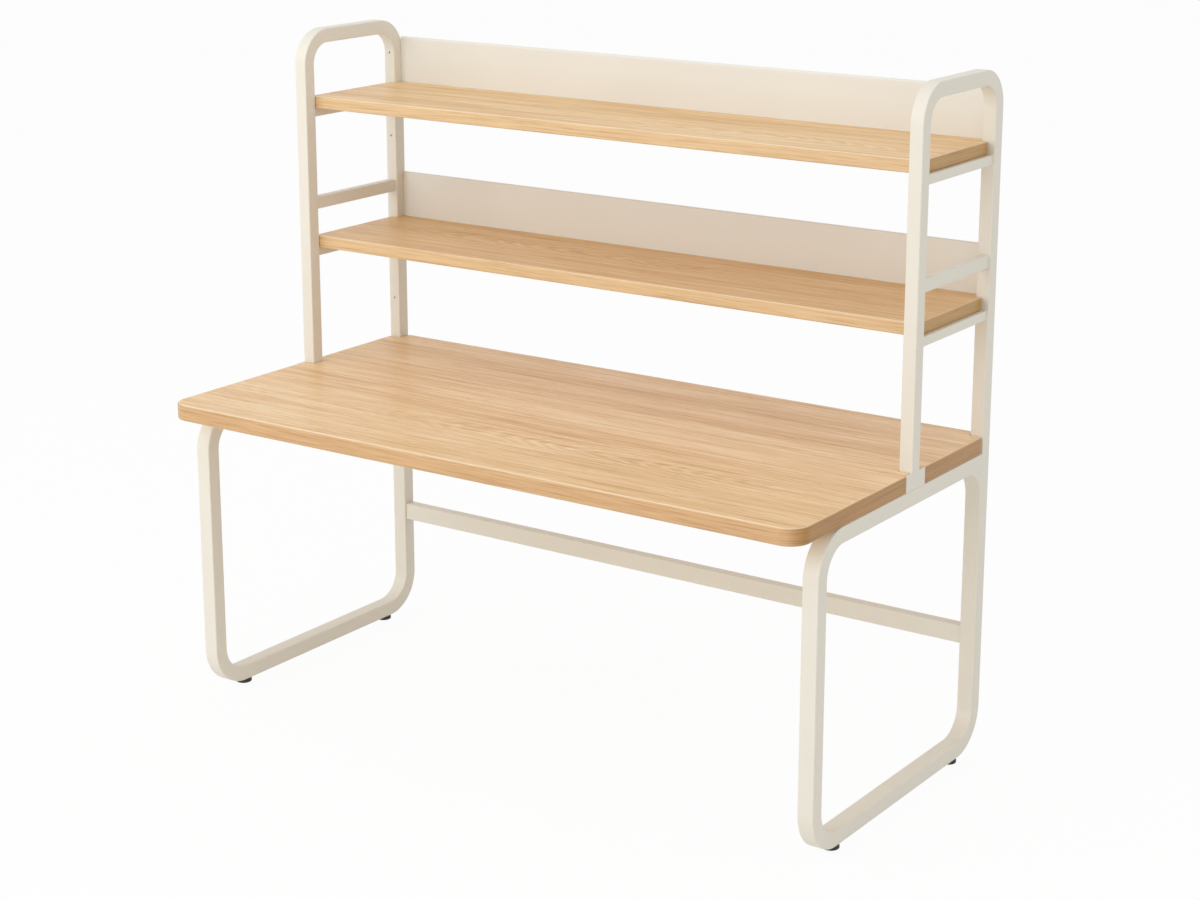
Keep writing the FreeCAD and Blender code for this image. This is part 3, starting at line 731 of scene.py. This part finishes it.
def outline(corners, inset):
    """Points of a right-angled outline with rounded corners, moved inwards by the inset."""
    points = []
    for i, (x, y, radius, moves) in enumerate(corners):
        before = corners[i - 1]
        after = corners[(i + 1) % len(corners)]
        came = Vector((x - before[0], y - before[1])).normalized()
        goes = Vector((after[0] - x, after[1] - y)).normalized()
        inwards_before = Vector((-came.y, came.x)) * (inset if before[3] else 0)
        inwards_after = Vector((-goes.y, goes.x)) * (inset if moves else 0)
        corner = Vector((x, y)) + inwards_before + inwards_after
        if not radius:
            points.append(corner)
            continue
        convex = came.x * goes.y - came.y * goes.x > 0
        r = radius - inset if convex else radius + inset
        centre = corner - came * r + goes * r
        steps = WIDE_CORNER_STEPS if radius > WIDE_CORNER else CORNER_STEPS
        for k in range(steps + 1):
            angle = math.pi / 2 * k / steps
            points.append(centre - goes * r * math.cos(angle) + came * r * math.sin(angle))
    return points


def stacked(corners, bottom, top, rim_round, face_material, rim_material):
    """Mesh of an outline between two heights, all in millimetres, with rounded rims and the rim UV map."""
    turns = [math.pi / 2 * k / RIM_STEPS for k in range(RIM_STEPS + 1)]
    levels = [(rim_round * (1 - math.sin(t)), bottom + rim_round * (1 - math.cos(t))) for t in turns]
    levels += [(rim_round * (1 - math.cos(t)), top - rim_round * (1 - math.sin(t))) for t in turns]
    base = outline(corners, 0)
    count = len(base)
    run = [0.0]
    for i in range(count):
        run.append(run[-1] + (base[(i + 1) % count] - base[i]).length)
    shell = bmesh.new()
    uv = shell.loops.layers.uv.new("rim")
    rings = []
    for inset, z in levels:
        rings.append([shell.verts.new((p.x * MM, p.y * MM, z * MM)) for p in outline(corners, inset)])
    for low, high, level_low, level_high in zip(rings, rings[1:], levels, levels[1:]):
        z_low, z_high = level_low[1], level_high[1]
        for i in range(count):
            j = (i + 1) % count
            face = shell.faces.new((low[i], low[j], high[j], high[i]))
            face.material_index = 1
            places = ((i, z_low), (i + 1, z_low), (i + 1, z_high), (i, z_high))
            for loop, (along, z) in zip(face.loops, places):
                loop[uv].uv = (run[along] * MM, z * MM)
    shell.faces.new(list(reversed(rings[0])))
    shell.faces.new(rings[-1])
    return to_mesh(shell, face_material, rim_material)


def both_ends(right_side):
    """Corners of the right half, from front to rear, and their mirror image from rear to front."""
    mirrored = []
    for i, (x, y, radius, moves) in enumerate(right_side):
        side_moves = right_side[i - 1][3] if i else True
        mirrored.append((-x, y, radius, side_moves))
    return right_side + list(reversed(mirrored))


print("a rounded corner has", CORNER_STEPS, "steps, a wide one", WIDE_CORNER_STEPS)

# %% [markdown]
# The desk top is 36 mm thick with front corners of 45 mm radius. Its ends have a stepped recess for the
# T-shaped sockets, and its rear corners step in round the rear uprights. The shelves lie between the
# uprights and lap 16 mm over them at the ends. All of these cuts leave a gap of 1 mm to the steel.

# %% Desk top and shelves
GAP = 1
PLATE_THICKNESS = 4
TOP_CORNER = 45
TOP_STEP_CORNER = 12
TOP_ROUND = 4
SHELF_CORNER = 6
SHELF_STEP_CORNER = 10
SHELF_ROUND = 3
INNER_CORNER = 5
socket_low, socket_high = measured("right_front_socket")
STUB_X = socket_low[0]
PLATE_HALF = (socket_high[1] - socket_low[1]) / 2
NOTCH_X = STUB_X - GAP
NOTCH_Y = REAR - HUTCH_DEPTH - GAP
SHELVES = {level: measured(level + "_shelf") for level in ("lower", "upper")}


def socket_recess():
    """Corners of the recess in a board end: room for the plate of a socket, and behind it for its stub."""
    plate_x = HALF_WIDTH - PLATE_THICKNESS - GAP
    plate_half = PLATE_HALF + GAP
    stub_half = HUTCH_DEPTH / 2 + GAP
    steps = [(HALF_WIDTH, -plate_half), (plate_x, -plate_half), (plate_x, -stub_half),
             (NOTCH_X, -stub_half), (NOTCH_X, stub_half), (plate_x, stub_half), (plate_x, plate_half)]
    corners = [(x, UPRIGHT_Y + y, 0, False) for x, y in steps]
    return corners + [(HALF_WIDTH, UPRIGHT_Y + plate_half, 0, True)]


def rear_steps(end, rear, corner):
    """Corners where a board steps in round a rear upright."""
    return [(end, NOTCH_Y, corner, True), (NOTCH_X, NOTCH_Y, INNER_CORNER, True),
            (NOTCH_X, rear, corner, True)]


top_half = [(HALF_WIDTH, FRONT, TOP_CORNER, True)] + socket_recess()
top_half += rear_steps(HALF_WIDTH, REAR, TOP_STEP_CORNER)
top_board = stacked(both_ends(top_half), UNDERSIDE, DESK_TOP, TOP_ROUND, top_veneer, top_band)
settle("desk_top_board", top_board, ["tabletop"])

for level, (low, high) in SHELVES.items():
    shelf_half = [(high[0], low[1], SHELF_CORNER, True)]
    shelf_half += rear_steps(high[0], high[1], SHELF_STEP_CORNER)
    veneer = shelf_veneers[level]
    shelf = stacked(both_ends(shelf_half), low[2], high[2], SHELF_ROUND, veneer, shelf_band)
    settle(level + "_shelf_board", shelf, [level + "_shelf"])

# %% [markdown]
# ## Front sockets
# A stub of hutch tube with a flat plate welded flush to its outside fills the recess, so that from the
# side the steel makes a T. Its upper rim has only a hairline bevel, which shows as the seam under the
# upright.

# %% Front sockets
STUB_CORNER = 4
SEAM_BEVEL = 0.4


def socket_corners(sign):
    """Corners of the plate and the stub, with the inside always on the left hand."""
    plate_x = HALF_WIDTH - PLATE_THICKNESS
    stub_half = HUTCH_DEPTH / 2
    steps = [(HALF_WIDTH, -PLATE_HALF, 0), (HALF_WIDTH, PLATE_HALF, 0), (plate_x, PLATE_HALF, 0),
             (plate_x, stub_half, 0), (STUB_X, stub_half, STUB_CORNER), (STUB_X, -stub_half, STUB_CORNER),
             (plate_x, -stub_half, 0), (plate_x, -PLATE_HALF, 0)]
    corners = [(sign * x, UPRIGHT_Y + y, radius, True) for x, y, radius in steps]
    return corners if sign > 0 else list(reversed(corners))


for side, sign in SIDES.items():
    socket = stacked(socket_corners(sign), UNDERSIDE, DESK_TOP, SEAM_BEVEL, coat, coat)
    settle(side + "_front_socket_plate", socket, [side + "_front_socket"])

# %% [markdown]
# ## Back panels
# Each panel is one sheet of 1.5 mm steel, folded on a press brake: a flange under the shelf, the face
# that rises behind it, and a narrow hem turned to the rear to stiffen the upper edge. The guide is the
# folded section. Each of its corners carries the radius of its fold as an attribute, and the tree
# sweeps the rounded section along X.

# %% Back panels
SHEET = 1.5
INNER_FOLD = 2.7
OUTER_FOLD = 4.2


def sheet_tree():
    """Folded section of the guide, pulled to both sides along X."""
    tree, given = start_tree("folded sheet", {"Half length": SIZE})
    section = add(tree, "GeometryNodeMeshToCurve", {"Mesh": given["Geometry"]})
    fold = add(tree, "GeometryNodeInputNamedAttribute", {"Name": "fold_radius"}, data_type="FLOAT")
    folded = add(tree, "GeometryNodeFilletCurve", {
        "Curve": section, "Count": 6, "Radius": fold}, mode="POLY")
    negative = add(tree, "ShaderNodeMath", {0: given["Half length"], 1: -1.0}, operation="MULTIPLY")
    start = add(tree, "ShaderNodeCombineXYZ", {"X": negative})
    end = add(tree, "ShaderNodeCombineXYZ", {"X": given["Half length"]})
    path = add(tree, "GeometryNodeCurvePrimitiveLine", {"Start": start, "End": end})
    upright = add(tree, "GeometryNodeSetCurveNormal", {"Curve": path, "Normal": ACROSS_Y}, mode="FREE")
    sheet = add(tree, "GeometryNodeCurveToMesh", {
        "Curve": upright, "Profile Curve": folded, "Fill Caps": True})
    return end_tree(tree, sheet, given)


def panel_section(low, high, front):
    """Guide of the folded section in a panel's box, in Y and Z, with the radius of each fold."""
    flange, bottom = low[1:]
    hem, top = high[1:]
    back = front + SHEET
    corners = [(flange, bottom, 0), (back, bottom, OUTER_FOLD), (back, top - SHEET, INNER_FOLD),
               (hem, top - SHEET, 0), (hem, top, 0), (front, top, OUTER_FOLD),
               (front, bottom + SHEET, INNER_FOLD), (flange, bottom + SHEET, 0)]
    line = [(y, z, 0) for y, z, radius in corners]
    mesh = guide_mesh([line + line[:1]])
    radii = mesh.attributes.new("fold_radius", "FLOAT", "POINT")
    for i, corner in enumerate(corners):
        radii.data[i].value = corner[2] * MM
    return mesh


sheets = sheet_tree()
for level, (shelf_low, shelf_high) in SHELVES.items():
    low, high = measured(level + "_back_panel")
    panel = grow(panel_section(low, high, shelf_high[1]), sheets, {
        "Half length": high[0] * MM, "Finish": sheet_coat_cooled_for_light})
    settle(level + "_back_panel_sheet", panel, [level + "_back_panel"], sharp_degrees=30)

# %% [markdown]
# ## Turned shapes
# Screw heads, bolt heads and glides are round, so each is a profile turned about its axis. The helper
# spins a list of radius and height pairs, and closes the ends where the radius is nothing.

# %% Turning


def turned(profile, segments, material):
    """Mesh of a profile in millimetres, from the bottom of the axis to its top, turned about Z."""
    shell = bmesh.new()
    turns = [2 * math.pi * k / segments for k in range(segments)]
    rings = []
    for radius, z in profile:
        if radius == 0:
            rings.append([shell.verts.new((0, 0, z * MM))])
            continue
        ring = [(radius * math.cos(t) * MM, radius * math.sin(t) * MM, z * MM) for t in turns]
        rings.append([shell.verts.new(p) for p in ring])
    for low, high in zip(rings, rings[1:]):
        for k in range(segments):
            n = (k + 1) % segments
            if len(low) == 1:
                shell.faces.new((low[0], high[n], high[k]))
            elif len(high) == 1:
                shell.faces.new((low[k], low[n], high[0]))
            else:
                shell.faces.new((low[k], low[n], high[n], high[k]))
    bmesh.ops.recalc_face_normals(shell, faces=shell.faces)
    return to_mesh(shell, material)


print("turning helper ready")

# %% [markdown]
# ## Screws and bolts
# The boards hang on hidden tabs, held by pan head wood screws with a cross recess. Button head bolts
# with a hexagon socket hold the front sockets from below, and headless set screws lock the spigots and
# the stretcher. Each kind is modelled once, standing on its seat with its shank up. A tree sets a copy
# on every place, turned by a random angle, because no two screws stop at the same turn.

# %% One of each fastener
SCREW_BITE = 18
THREAD_STEP = 1.5
THREAD_CORE = 1.6
SHANK_RADIUS = 2.25
POINT_LENGTH = 5


def cut_recess(mesh, cutters):
    """The mesh less the cutting prisms: XY points of each with its bottom and top, in millimetres."""
    whole = hold("blank", mesh)
    tools = []
    for points, bottom, top in cutters:
        shell = bmesh.new()
        low = [shell.verts.new((x * MM, y * MM, bottom * MM)) for x, y in points]
        high = [shell.verts.new((x * MM, y * MM, top * MM)) for x, y in points]
        shell.faces.new(list(reversed(low)))
        shell.faces.new(high)
        for k in range(len(points)):
            n = (k + 1) % len(points)
            shell.faces.new((low[k], low[n], high[n], high[k]))
        tools.append(hold("tool", to_mesh(shell)))
        cut = whole.modifiers.new("recess", "BOOLEAN")
        cut.operation = "DIFFERENCE"
        cut.solver = "EXACT"
        cut.object = tools[-1]
    made = plain_mesh(whole)
    for tool in tools:
        drop(tool)
    return made


def hexagon(across):
    """Corners of a hexagon by the distance across its flats."""
    r = across / 2 / math.cos(math.pi / 6)
    return [(r * math.cos(math.pi / 3 * k), r * math.sin(math.pi / 3 * k)) for k in range(6)]


def slot_shape(length, width, turn):
    """Corners of a narrow rectangle, turned by a quarter or not."""
    x, y = length / 2, width / 2
    corners = [(-x, -y), (x, -y), (x, y), (-x, y)]
    return [(-b, a) for a, b in corners] if turn else corners


def pan_screw(plate):
    """Wood screw whose head sits under a plate: 4.5 mm shank with a thread of fine rings and a point."""
    length = plate + SCREW_BITE
    profile = [(0, -3.0), (2.6, -3.0), (3.6, -2.75), (4.2, -2.2), (4.5, -1.4), (4.5, 0), (SHANK_RADIUS, 0),
               (SHANK_RADIUS, plate)]
    z = plate
    while z < length - POINT_LENGTH:
        profile += [(THREAD_CORE, z + 0.5), (SHANK_RADIUS, z + 1.0), (THREAD_CORE, z + THREAD_STEP)]
        z += THREAD_STEP
    profile += [(0, length)]
    cross = [(slot_shape(4.0, 0.9, turn), -3.5, -1.2) for turn in (False, True)]
    return cut_recess(turned(profile, 20, zinc), cross)


def button_bolt():
    """8 mm bolt with a domed head and a hexagon socket."""
    head = [(0, -5), (3.6, -5), (5.0, -4.6), (6.0, -3.7), (6.5, -2.4), (6.5, 0)]
    shank = [(4, 0), (4, 55.4), (3.4, 56), (0, 56)]
    return cut_recess(turned(head + shank, 28, zinc), [(hexagon(5.0), -6, -2)])


def headless_screw():
    """6 mm set screw with a hexagon socket."""
    profile = [(0, 0), (2.5, 0), (3, 0.5), (3, 9.2), (2.2, 10), (0, 10)]
    return cut_recess(turned(profile, 24, zinc), [(hexagon(3.0), -1, 4)])


print("a pan head screw bites", SCREW_BITE, "mm into the wood")

# %% The fastener tree


def fastener_tree():
    """A copy of a fastener at each point of the guide, turned by a random angle about its own axis."""
    tree, given = start_tree("fasteners on points", {
        "Fastener": "NodeSocketObject", "Aim": "NodeSocketRotation", "Seed": "NodeSocketInt"})
    places = add(tree, "GeometryNodeMeshToPoints", {"Mesh": given["Geometry"]})
    angle = add(tree, "FunctionNodeRandomValue", {
        3: 2 * math.pi, "Seed": given["Seed"]}, data_type="FLOAT")
    spin = add(tree, "FunctionNodeAxisAngleToRotation", {"Axis": (0.0, 0.0, 1.0), "Angle": angle})
    aimed = add(tree, "FunctionNodeRotateRotation", {
        "Rotation": given["Aim"], "Rotate By": spin}, rotation_space="LOCAL")
    shape = add(tree, "GeometryNodeObjectInfo", {"Object": given["Fastener"]}).outputs["Geometry"]
    set_out = add(tree, "GeometryNodeInstanceOnPoints", {
        "Points": places, "Instance": shape, "Rotation": aimed})
    return end_tree(tree, set_out, given)


fasteners = fastener_tree()


def fasten(name, shape, points, node, seed, aim=ALONG_Z):
    """One mesh with a copy of the shape on every point in millimetres, in the place of a CAD node."""
    single = hold("single", shape)
    made = grow(guide_mesh([[p] for p in points]), fasteners, {
        "Fastener": single, "Aim": aim, "Seed": seed, "Finish": zinc})
    drop(single)
    settle(name, made, [node])


# %% Set out the screws and bolts
PAN_HEAD_RADIUS = 4.5
BOLT_HEAD_HEIGHT = 5
TAB = 3
PANEL_SCREWS = 5
signs = SIDES.values()
shelf_undersides = [low[2] for low, high in SHELVES.values()]


def screw_rows(node):
    """First and last X, and first and last Y, of the pan head screws of a CAD node."""
    low, high = measured(node)
    return [(low[k] + PAN_HEAD_RADIUS, high[k] - PAN_HEAD_RADIUS) for k in (0, 1)]


xs, ys = screw_rows("tabletop_screws")
places = [(x, y, UNDERSIDE - TAB) for x in xs for y in (ys[0], sum(ys) / 2, ys[1])]
fasten("desk_top_screws", pan_screw(TAB), places, "tabletop_screws", 3)
xs, ys = screw_rows("shelf_screws")
places = [(x, y, z - TAB) for z in shelf_undersides for x in xs for y in ys]
fasten("shelf_tab_screws", pan_screw(TAB), places, "shelf_screws", 5)
xs, ys = screw_rows("panel_screws")
spacing = (xs[1] - xs[0]) / (PANEL_SCREWS - 1)
places = [(xs[0] + spacing * k, ys[0], z - SHEET) for z in shelf_undersides for k in range(PANEL_SCREWS)]
fasten("back_panel_screws", pan_screw(SHEET), places, "panel_screws", 7)
bolt_seat = measured("socket_bolts")[0][2] + BOLT_HEAD_HEIGHT
places = [(s * HUTCH_X, UPRIGHT_Y, bolt_seat) for s in signs]
fasten("front_socket_bolts", button_bolt(), places, "socket_bolts", 2)
places = [(s * HUTCH_X, y, z) for s in signs for y, z in LOCKS]
fasten("spigot_set_screws", headless_screw(), places, "lock_screws", 4, ALONG_Y)
fasten("stretcher_set_screws", headless_screw(), plug_screws, "stretcher_screws", 6, ALONG_Y)

# %% [markdown]
# ## Tabs
# Under the boards small steel tabs are welded to the rails and bars, and coated with the frame. Their
# solids have the right shape but razor edges, where a real tab is tumbled after punching. So a copy of
# each solid has its loose triangles joined into flat faces again, and a Bevel modifier breaks the
# edges.

# %% Tabs
TUMBLED_EDGE = 0.5
LOOSE_CORNER = 0.01


def tumbled(node):
    """Copy of a CAD node's mesh with its edges broken."""
    shell = bmesh.new()
    shell.from_mesh(frame["nodes"][node].data)
    bmesh.ops.remove_doubles(shell, verts=shell.verts, dist=LOOSE_CORNER * MM)
    bmesh.ops.dissolve_limit(shell, angle_limit=math.radians(1), verts=shell.verts, edges=shell.edges)
    blank = hold("tab", to_mesh(shell))
    bevel = blank.modifiers.new("tumbled edge", "BEVEL")
    bevel.width = TUMBLED_EDGE * MM
    bevel.segments = 2
    bevel.limit_method = "ANGLE"
    made = plain_mesh(blank)
    made.materials.clear()
    made.materials.append(coat)
    return made


for name, node in (("desk_top_tabs", "tabletop_tabs"), ("shelf_bar_tabs", "shelf_tabs")):
    settle(name, tumbled(node), [node])

# %% [markdown]
# ## Glides
# Each foot is a moulded nylon pad on a threaded stud, screwed into a nut inside the floor rail. The pad
# has fine grip ribs round its rim, so that a hand can turn it. The ribs repeat round a circle, so a
# tree presses them into the turned pad: the angle of each point round the axis gives a wave, and the
# wave moves the point inwards.

# %% Trees for ribs and threads


def rib_tree():
    """Presses ribs into a turned shape between two heights."""
    tree, given = start_tree("grip ribs", {
        "Centre": "NodeSocketVector", "Rib count": SIZE, "Rib depth": SIZE, "Low": SIZE, "High": SIZE})
    spot = add(tree, "GeometryNodeInputPosition")
    arm = add(tree, "ShaderNodeVectorMath", {0: spot, 1: given["Centre"]}, operation="SUBTRACT")
    axes = add(tree, "ShaderNodeSeparateXYZ", {"Vector": arm}).outputs
    angle = add(tree, "ShaderNodeMath", {0: axes["Y"], 1: axes["X"]}, operation="ARCTAN2")
    phase = add(tree, "ShaderNodeMath", {0: angle, 1: given["Rib count"]}, operation="MULTIPLY")
    wave = add(tree, "ShaderNodeMath", {0: phase}, operation="COSINE")
    press = add(tree, "ShaderNodeMapRange", {
        "Value": wave, "From Min": -1.0, "To Min": given["Rib depth"], "To Max": 0.0})
    flat = add(tree, "ShaderNodeCombineXYZ", {"X": axes["X"], "Y": axes["Y"]})
    outwards = add(tree, "ShaderNodeVectorMath", {0: flat}, operation="NORMALIZE")
    inwards = add(tree, "ShaderNodeMath", {0: press, 1: -1.0}, operation="MULTIPLY")
    offset = add(tree, "ShaderNodeVectorMath", {0: outwards, "Scale": inwards}, operation="SCALE")
    above = add(tree, "FunctionNodeCompare", {0: axes["Z"], 1: given["Low"]}, operation="GREATER_THAN")
    below = add(tree, "FunctionNodeCompare", {0: axes["Z"], 1: given["High"]}, operation="LESS_THAN")
    rim_only = add(tree, "FunctionNodeBooleanMath", {0: above, 1: below}, operation="AND")
    pressed = add(tree, "GeometryNodeSetPosition", {
        "Geometry": given["Geometry"], "Selection": rim_only, "Offset": offset})
    return end_tree(tree, pressed, given)


def thread_tree():
    """Stud with a helical ridge, upwards from each point of the guide."""
    tree, given = start_tree("threaded stud", {
        "Pitch": SIZE, "Length": SIZE, "Core radius": SIZE, "Ridge": SIZE})
    turns = add(tree, "ShaderNodeMath", {0: given["Length"], 1: given["Pitch"]}, operation="DIVIDE")
    helix = add(tree, "GeometryNodeCurveSpiral", {
        "Resolution": 24, "Rotations": turns, "Start Radius": given["Core radius"],
        "End Radius": given["Core radius"], "Height": given["Length"]})
    ridge = add(tree, "GeometryNodeCurvePrimitiveCircle", {"Resolution": 4, "Radius": given["Ridge"]})
    thread = add(tree, "GeometryNodeCurveToMesh", {
        "Curve": helix, "Profile Curve": ridge, "Fill Caps": True})
    places = add(tree, "GeometryNodeMeshToPoints", {"Mesh": given["Geometry"]})
    half = add(tree, "ShaderNodeMath", {0: given["Length"], 1: 0.5}, operation="MULTIPLY")
    lift = add(tree, "ShaderNodeCombineXYZ", {"Z": half})
    core = add(tree, "GeometryNodeMeshCylinder", {
        "Vertices": 32, "Radius": given["Core radius"], "Depth": given["Length"]})
    lifted = add(tree, "GeometryNodeTransform", {"Geometry": core, "Translation": lift})
    both = add(tree, "GeometryNodeJoinGeometry", {"Geometry": lifted})
    tree.links.new(thread.outputs["Mesh"], both.inputs["Geometry"])
    stood = add(tree, "GeometryNodeInstanceOnPoints", {"Points": places, "Instance": both})
    return end_tree(tree, stood, given)


ribs = rib_tree()
threads = thread_tree()

# %% Glides and studs
PAD_SEGMENTS = 144
GRIP = {"Rib count": 36.0, "Rib depth": 0.5 * MM, "Low": 2.6 * MM, "High": 5.4 * MM, "Finish": nylon}
THREAD = {"Pitch": 1.25 * MM, "Core radius": 3.45 * MM, "Ridge": 0.5 * MM, "Finish": zinc}


def pad_profile():
    """Radius and height of the pad in millimetres, from its underside round the rim and up the taper."""
    bend = [(16 + 2 * math.sin(t), 2 - 2 * math.cos(t)) for t in (math.pi / 2 * k / 5 for k in range(6))]
    rim = [(18, 2.4), (18, 2.8), (18, 4), (18, 5.2), (18, 5.6), (17.8, 6.2)]
    taper = [(16.3, 9.5), (16, 10)]
    room = [(4.1, 10), (4.1, 5), (0, 5)]
    return [(0, 0)] + bend + rim + taper + room


for end, y in FOOT_Y.items():
    for side, sign in SIDES.items():
        name = end + "_" + side + "_foot"
        centre = Vector((sign * LEG_X, y, 0)) * MM
        blank = turned(pad_profile(), PAD_SEGMENTS, nylon)
        for vertex in blank.vertices:
            vertex.co += centre
        pad = grow(blank, ribs, {"Centre": centre, **GRIP})
        settle(name + "_glide", pad, [name + "_pad"], name, 40)
        low, high = measured(name + "_stud")
        foot_point = guide_mesh([[(sign * LEG_X, y, low[2])]])
        stud = grow(foot_point, threads, {"Length": (high[2] - low[2]) * MM, **THREAD})
        settle(name + "_threaded_stud", stud, [name + "_stud"], name, 30)

# %% [markdown]
# ## Parts inside the tubes
# Spigots, plugs and weld nuts are inside the tubes, where nobody sees them. Their solids are right as
# they are and only get the zinc finish.

# %% Parts inside the tubes
for node in ("front_spigots", "rear_spigots", "stretcher_plugs", "foot_nuts"):
    inner = frame["nodes"][node].data
    inner.materials.clear()
    inner.materials.append(zinc)
    print(node, "keeps its CAD shape")

# %% [markdown]
# ## Studio
# The photo was taken on white, with a broad soft light before the desk and little shadow. Four large
# lamps and an even sky stand for that: most of the light comes from the front left, and a little from
# low in front, from the right and from above. The floor is pale, and for rays from the camera and for
# mirror rays it is mostly a plain white, so the background stays white while the floor keeps a trace of
# the desk's shadow. It lies lower than the glides by their travel, so that they stay in sight when they
# are screwed out.

# %% Floor and sky
FLOOR_REACH = 30.0
FLOOR_WHITE = 0.95
SKY_LIGHT = 0.69


def background_rays(tree):
    """1 for rays from the camera, from a mirror or through glass, and 0 for rays that carry light."""
    path = add(tree, "ShaderNodeLightPath").outputs
    seen = add(tree, "ShaderNodeMath", {
        0: path["Is Camera Ray"], 1: path["Is Glossy Ray"]}, operation="MAXIMUM")
    return add(tree, "ShaderNodeMath", {0: seen, 1: path["Is Transmission Ray"]}, operation="MAXIMUM")


def floor_finish():
    """Matt pale floor that looks nearly white to the camera."""
    material, tree = new_material("pale studio floor")
    matt = add(tree, "ShaderNodeBsdfDiffuse", {"Color": linear("#f2f1ee")})
    white = add(tree, "ShaderNodeEmission", {"Color": linear("#ffffff"), "Strength": 1.0})
    share = add(tree, "ShaderNodeMath", {0: background_rays(tree), 1: FLOOR_WHITE}, operation="MULTIPLY")
    mixed = add(tree, "ShaderNodeMixShader", {0: share, 1: matt, 2: white})
    add(tree, "ShaderNodeOutputMaterial", {"Surface": mixed})
    return material


foot_travel = max(joint["range_m"][1] for joint in frame["joints"])
quarters = ((-1, -1), (1, -1), (1, 1), (-1, 1))
floor_corners = [(x * FLOOR_REACH, y * FLOOR_REACH, -foot_travel) for x, y in quarters]
floor_mesh = bpy.data.meshes.new("studio_floor")
floor_mesh.from_pydata(floor_corners, [], [(0, 1, 2, 3)])
floor_mesh.materials.append(floor_finish())
hold("studio_floor", floor_mesh)

sky = bpy.data.worlds.new("studio sky")
sky.use_nodes = True
sky.node_tree.nodes.clear()
strength = add(sky.node_tree, "ShaderNodeMapRange", {
    "Value": background_rays(sky.node_tree), "To Min": SKY_LIGHT, "To Max": 1.0})
background = add(sky.node_tree, "ShaderNodeBackground", {"Color": linear("#fefefe"), "Strength": strength})
add(sky.node_tree, "ShaderNodeOutputWorld", {"Surface": background})
scene.world = sky
scene.view_settings.view_transform = "Standard"
print("floor", foot_travel, "m below the glides, sky at", SKY_LIGHT)

# %% Lamps


def lamp(name, place, aim, size, watts):
    """Square area lamp at a place in metres that faces a point."""
    light = bpy.data.lights.new(name, "AREA")
    light.size = size
    light.energy = watts
    holder = hold(name, light)
    holder.location = place
    holder.rotation_euler = (Vector(aim) - Vector(place)).to_track_quat("-Z", "Y").to_euler()


lamp("front_softbox", (-2.2, -4.6, 3.2), (0, 0, 0.8), 4.4, 94)
lamp("low_softbox", (-0.5, -5.6, 1.3), (0, 0, 0.8), 3.0, 40)
lamp("right_softbox", (4.2, -0.6, 2.4), (0.6, 0.1, 0.8), 2.2, 14)
lamp("overhead_softbox", (0.0, -1.0, 4.6), (0, 0, 0.7), 3.0, 20)

# %% [markdown]
# ## Camera
# The camera was found by fitting the desk's corners and edges to the photo. It stands to the right of
# the desk at two metres up and looks down by 15 degrees. The photo's uprights hardly lean, so a small
# downward shift of the lens takes up part of that tilt. A larger one would push the desk out of the
# picture in other views.

# %% Camera
PHOTO_WIDTH = 1200
FOCAL_PIXELS = 2450
SHIFT_PIXELS = -75
yaw = math.radians(34.634)
pitch = math.radians(14.558)
lens = bpy.data.cameras.new("photo_camera")
lens.sensor_width = 36.0
lens.lens = FOCAL_PIXELS / PHOTO_WIDTH * lens.sensor_width
lens.shift_y = SHIFT_PIXELS / PHOTO_WIDTH
lens.clip_end = 200.0
camera = hold("photo_camera", lens)
camera.location = (2.9434, -4.1478, 2.1263)
ahead = Vector((-math.sin(yaw) * math.cos(pitch), math.cos(yaw) * math.cos(pitch), -math.sin(pitch)))
camera.rotation_euler = ahead.to_track_quat("-Z", "Y").to_euler()
scene.camera = camera
print("camera at", tuple(camera.location), "lens", round(lens.lens, 2), "mm")
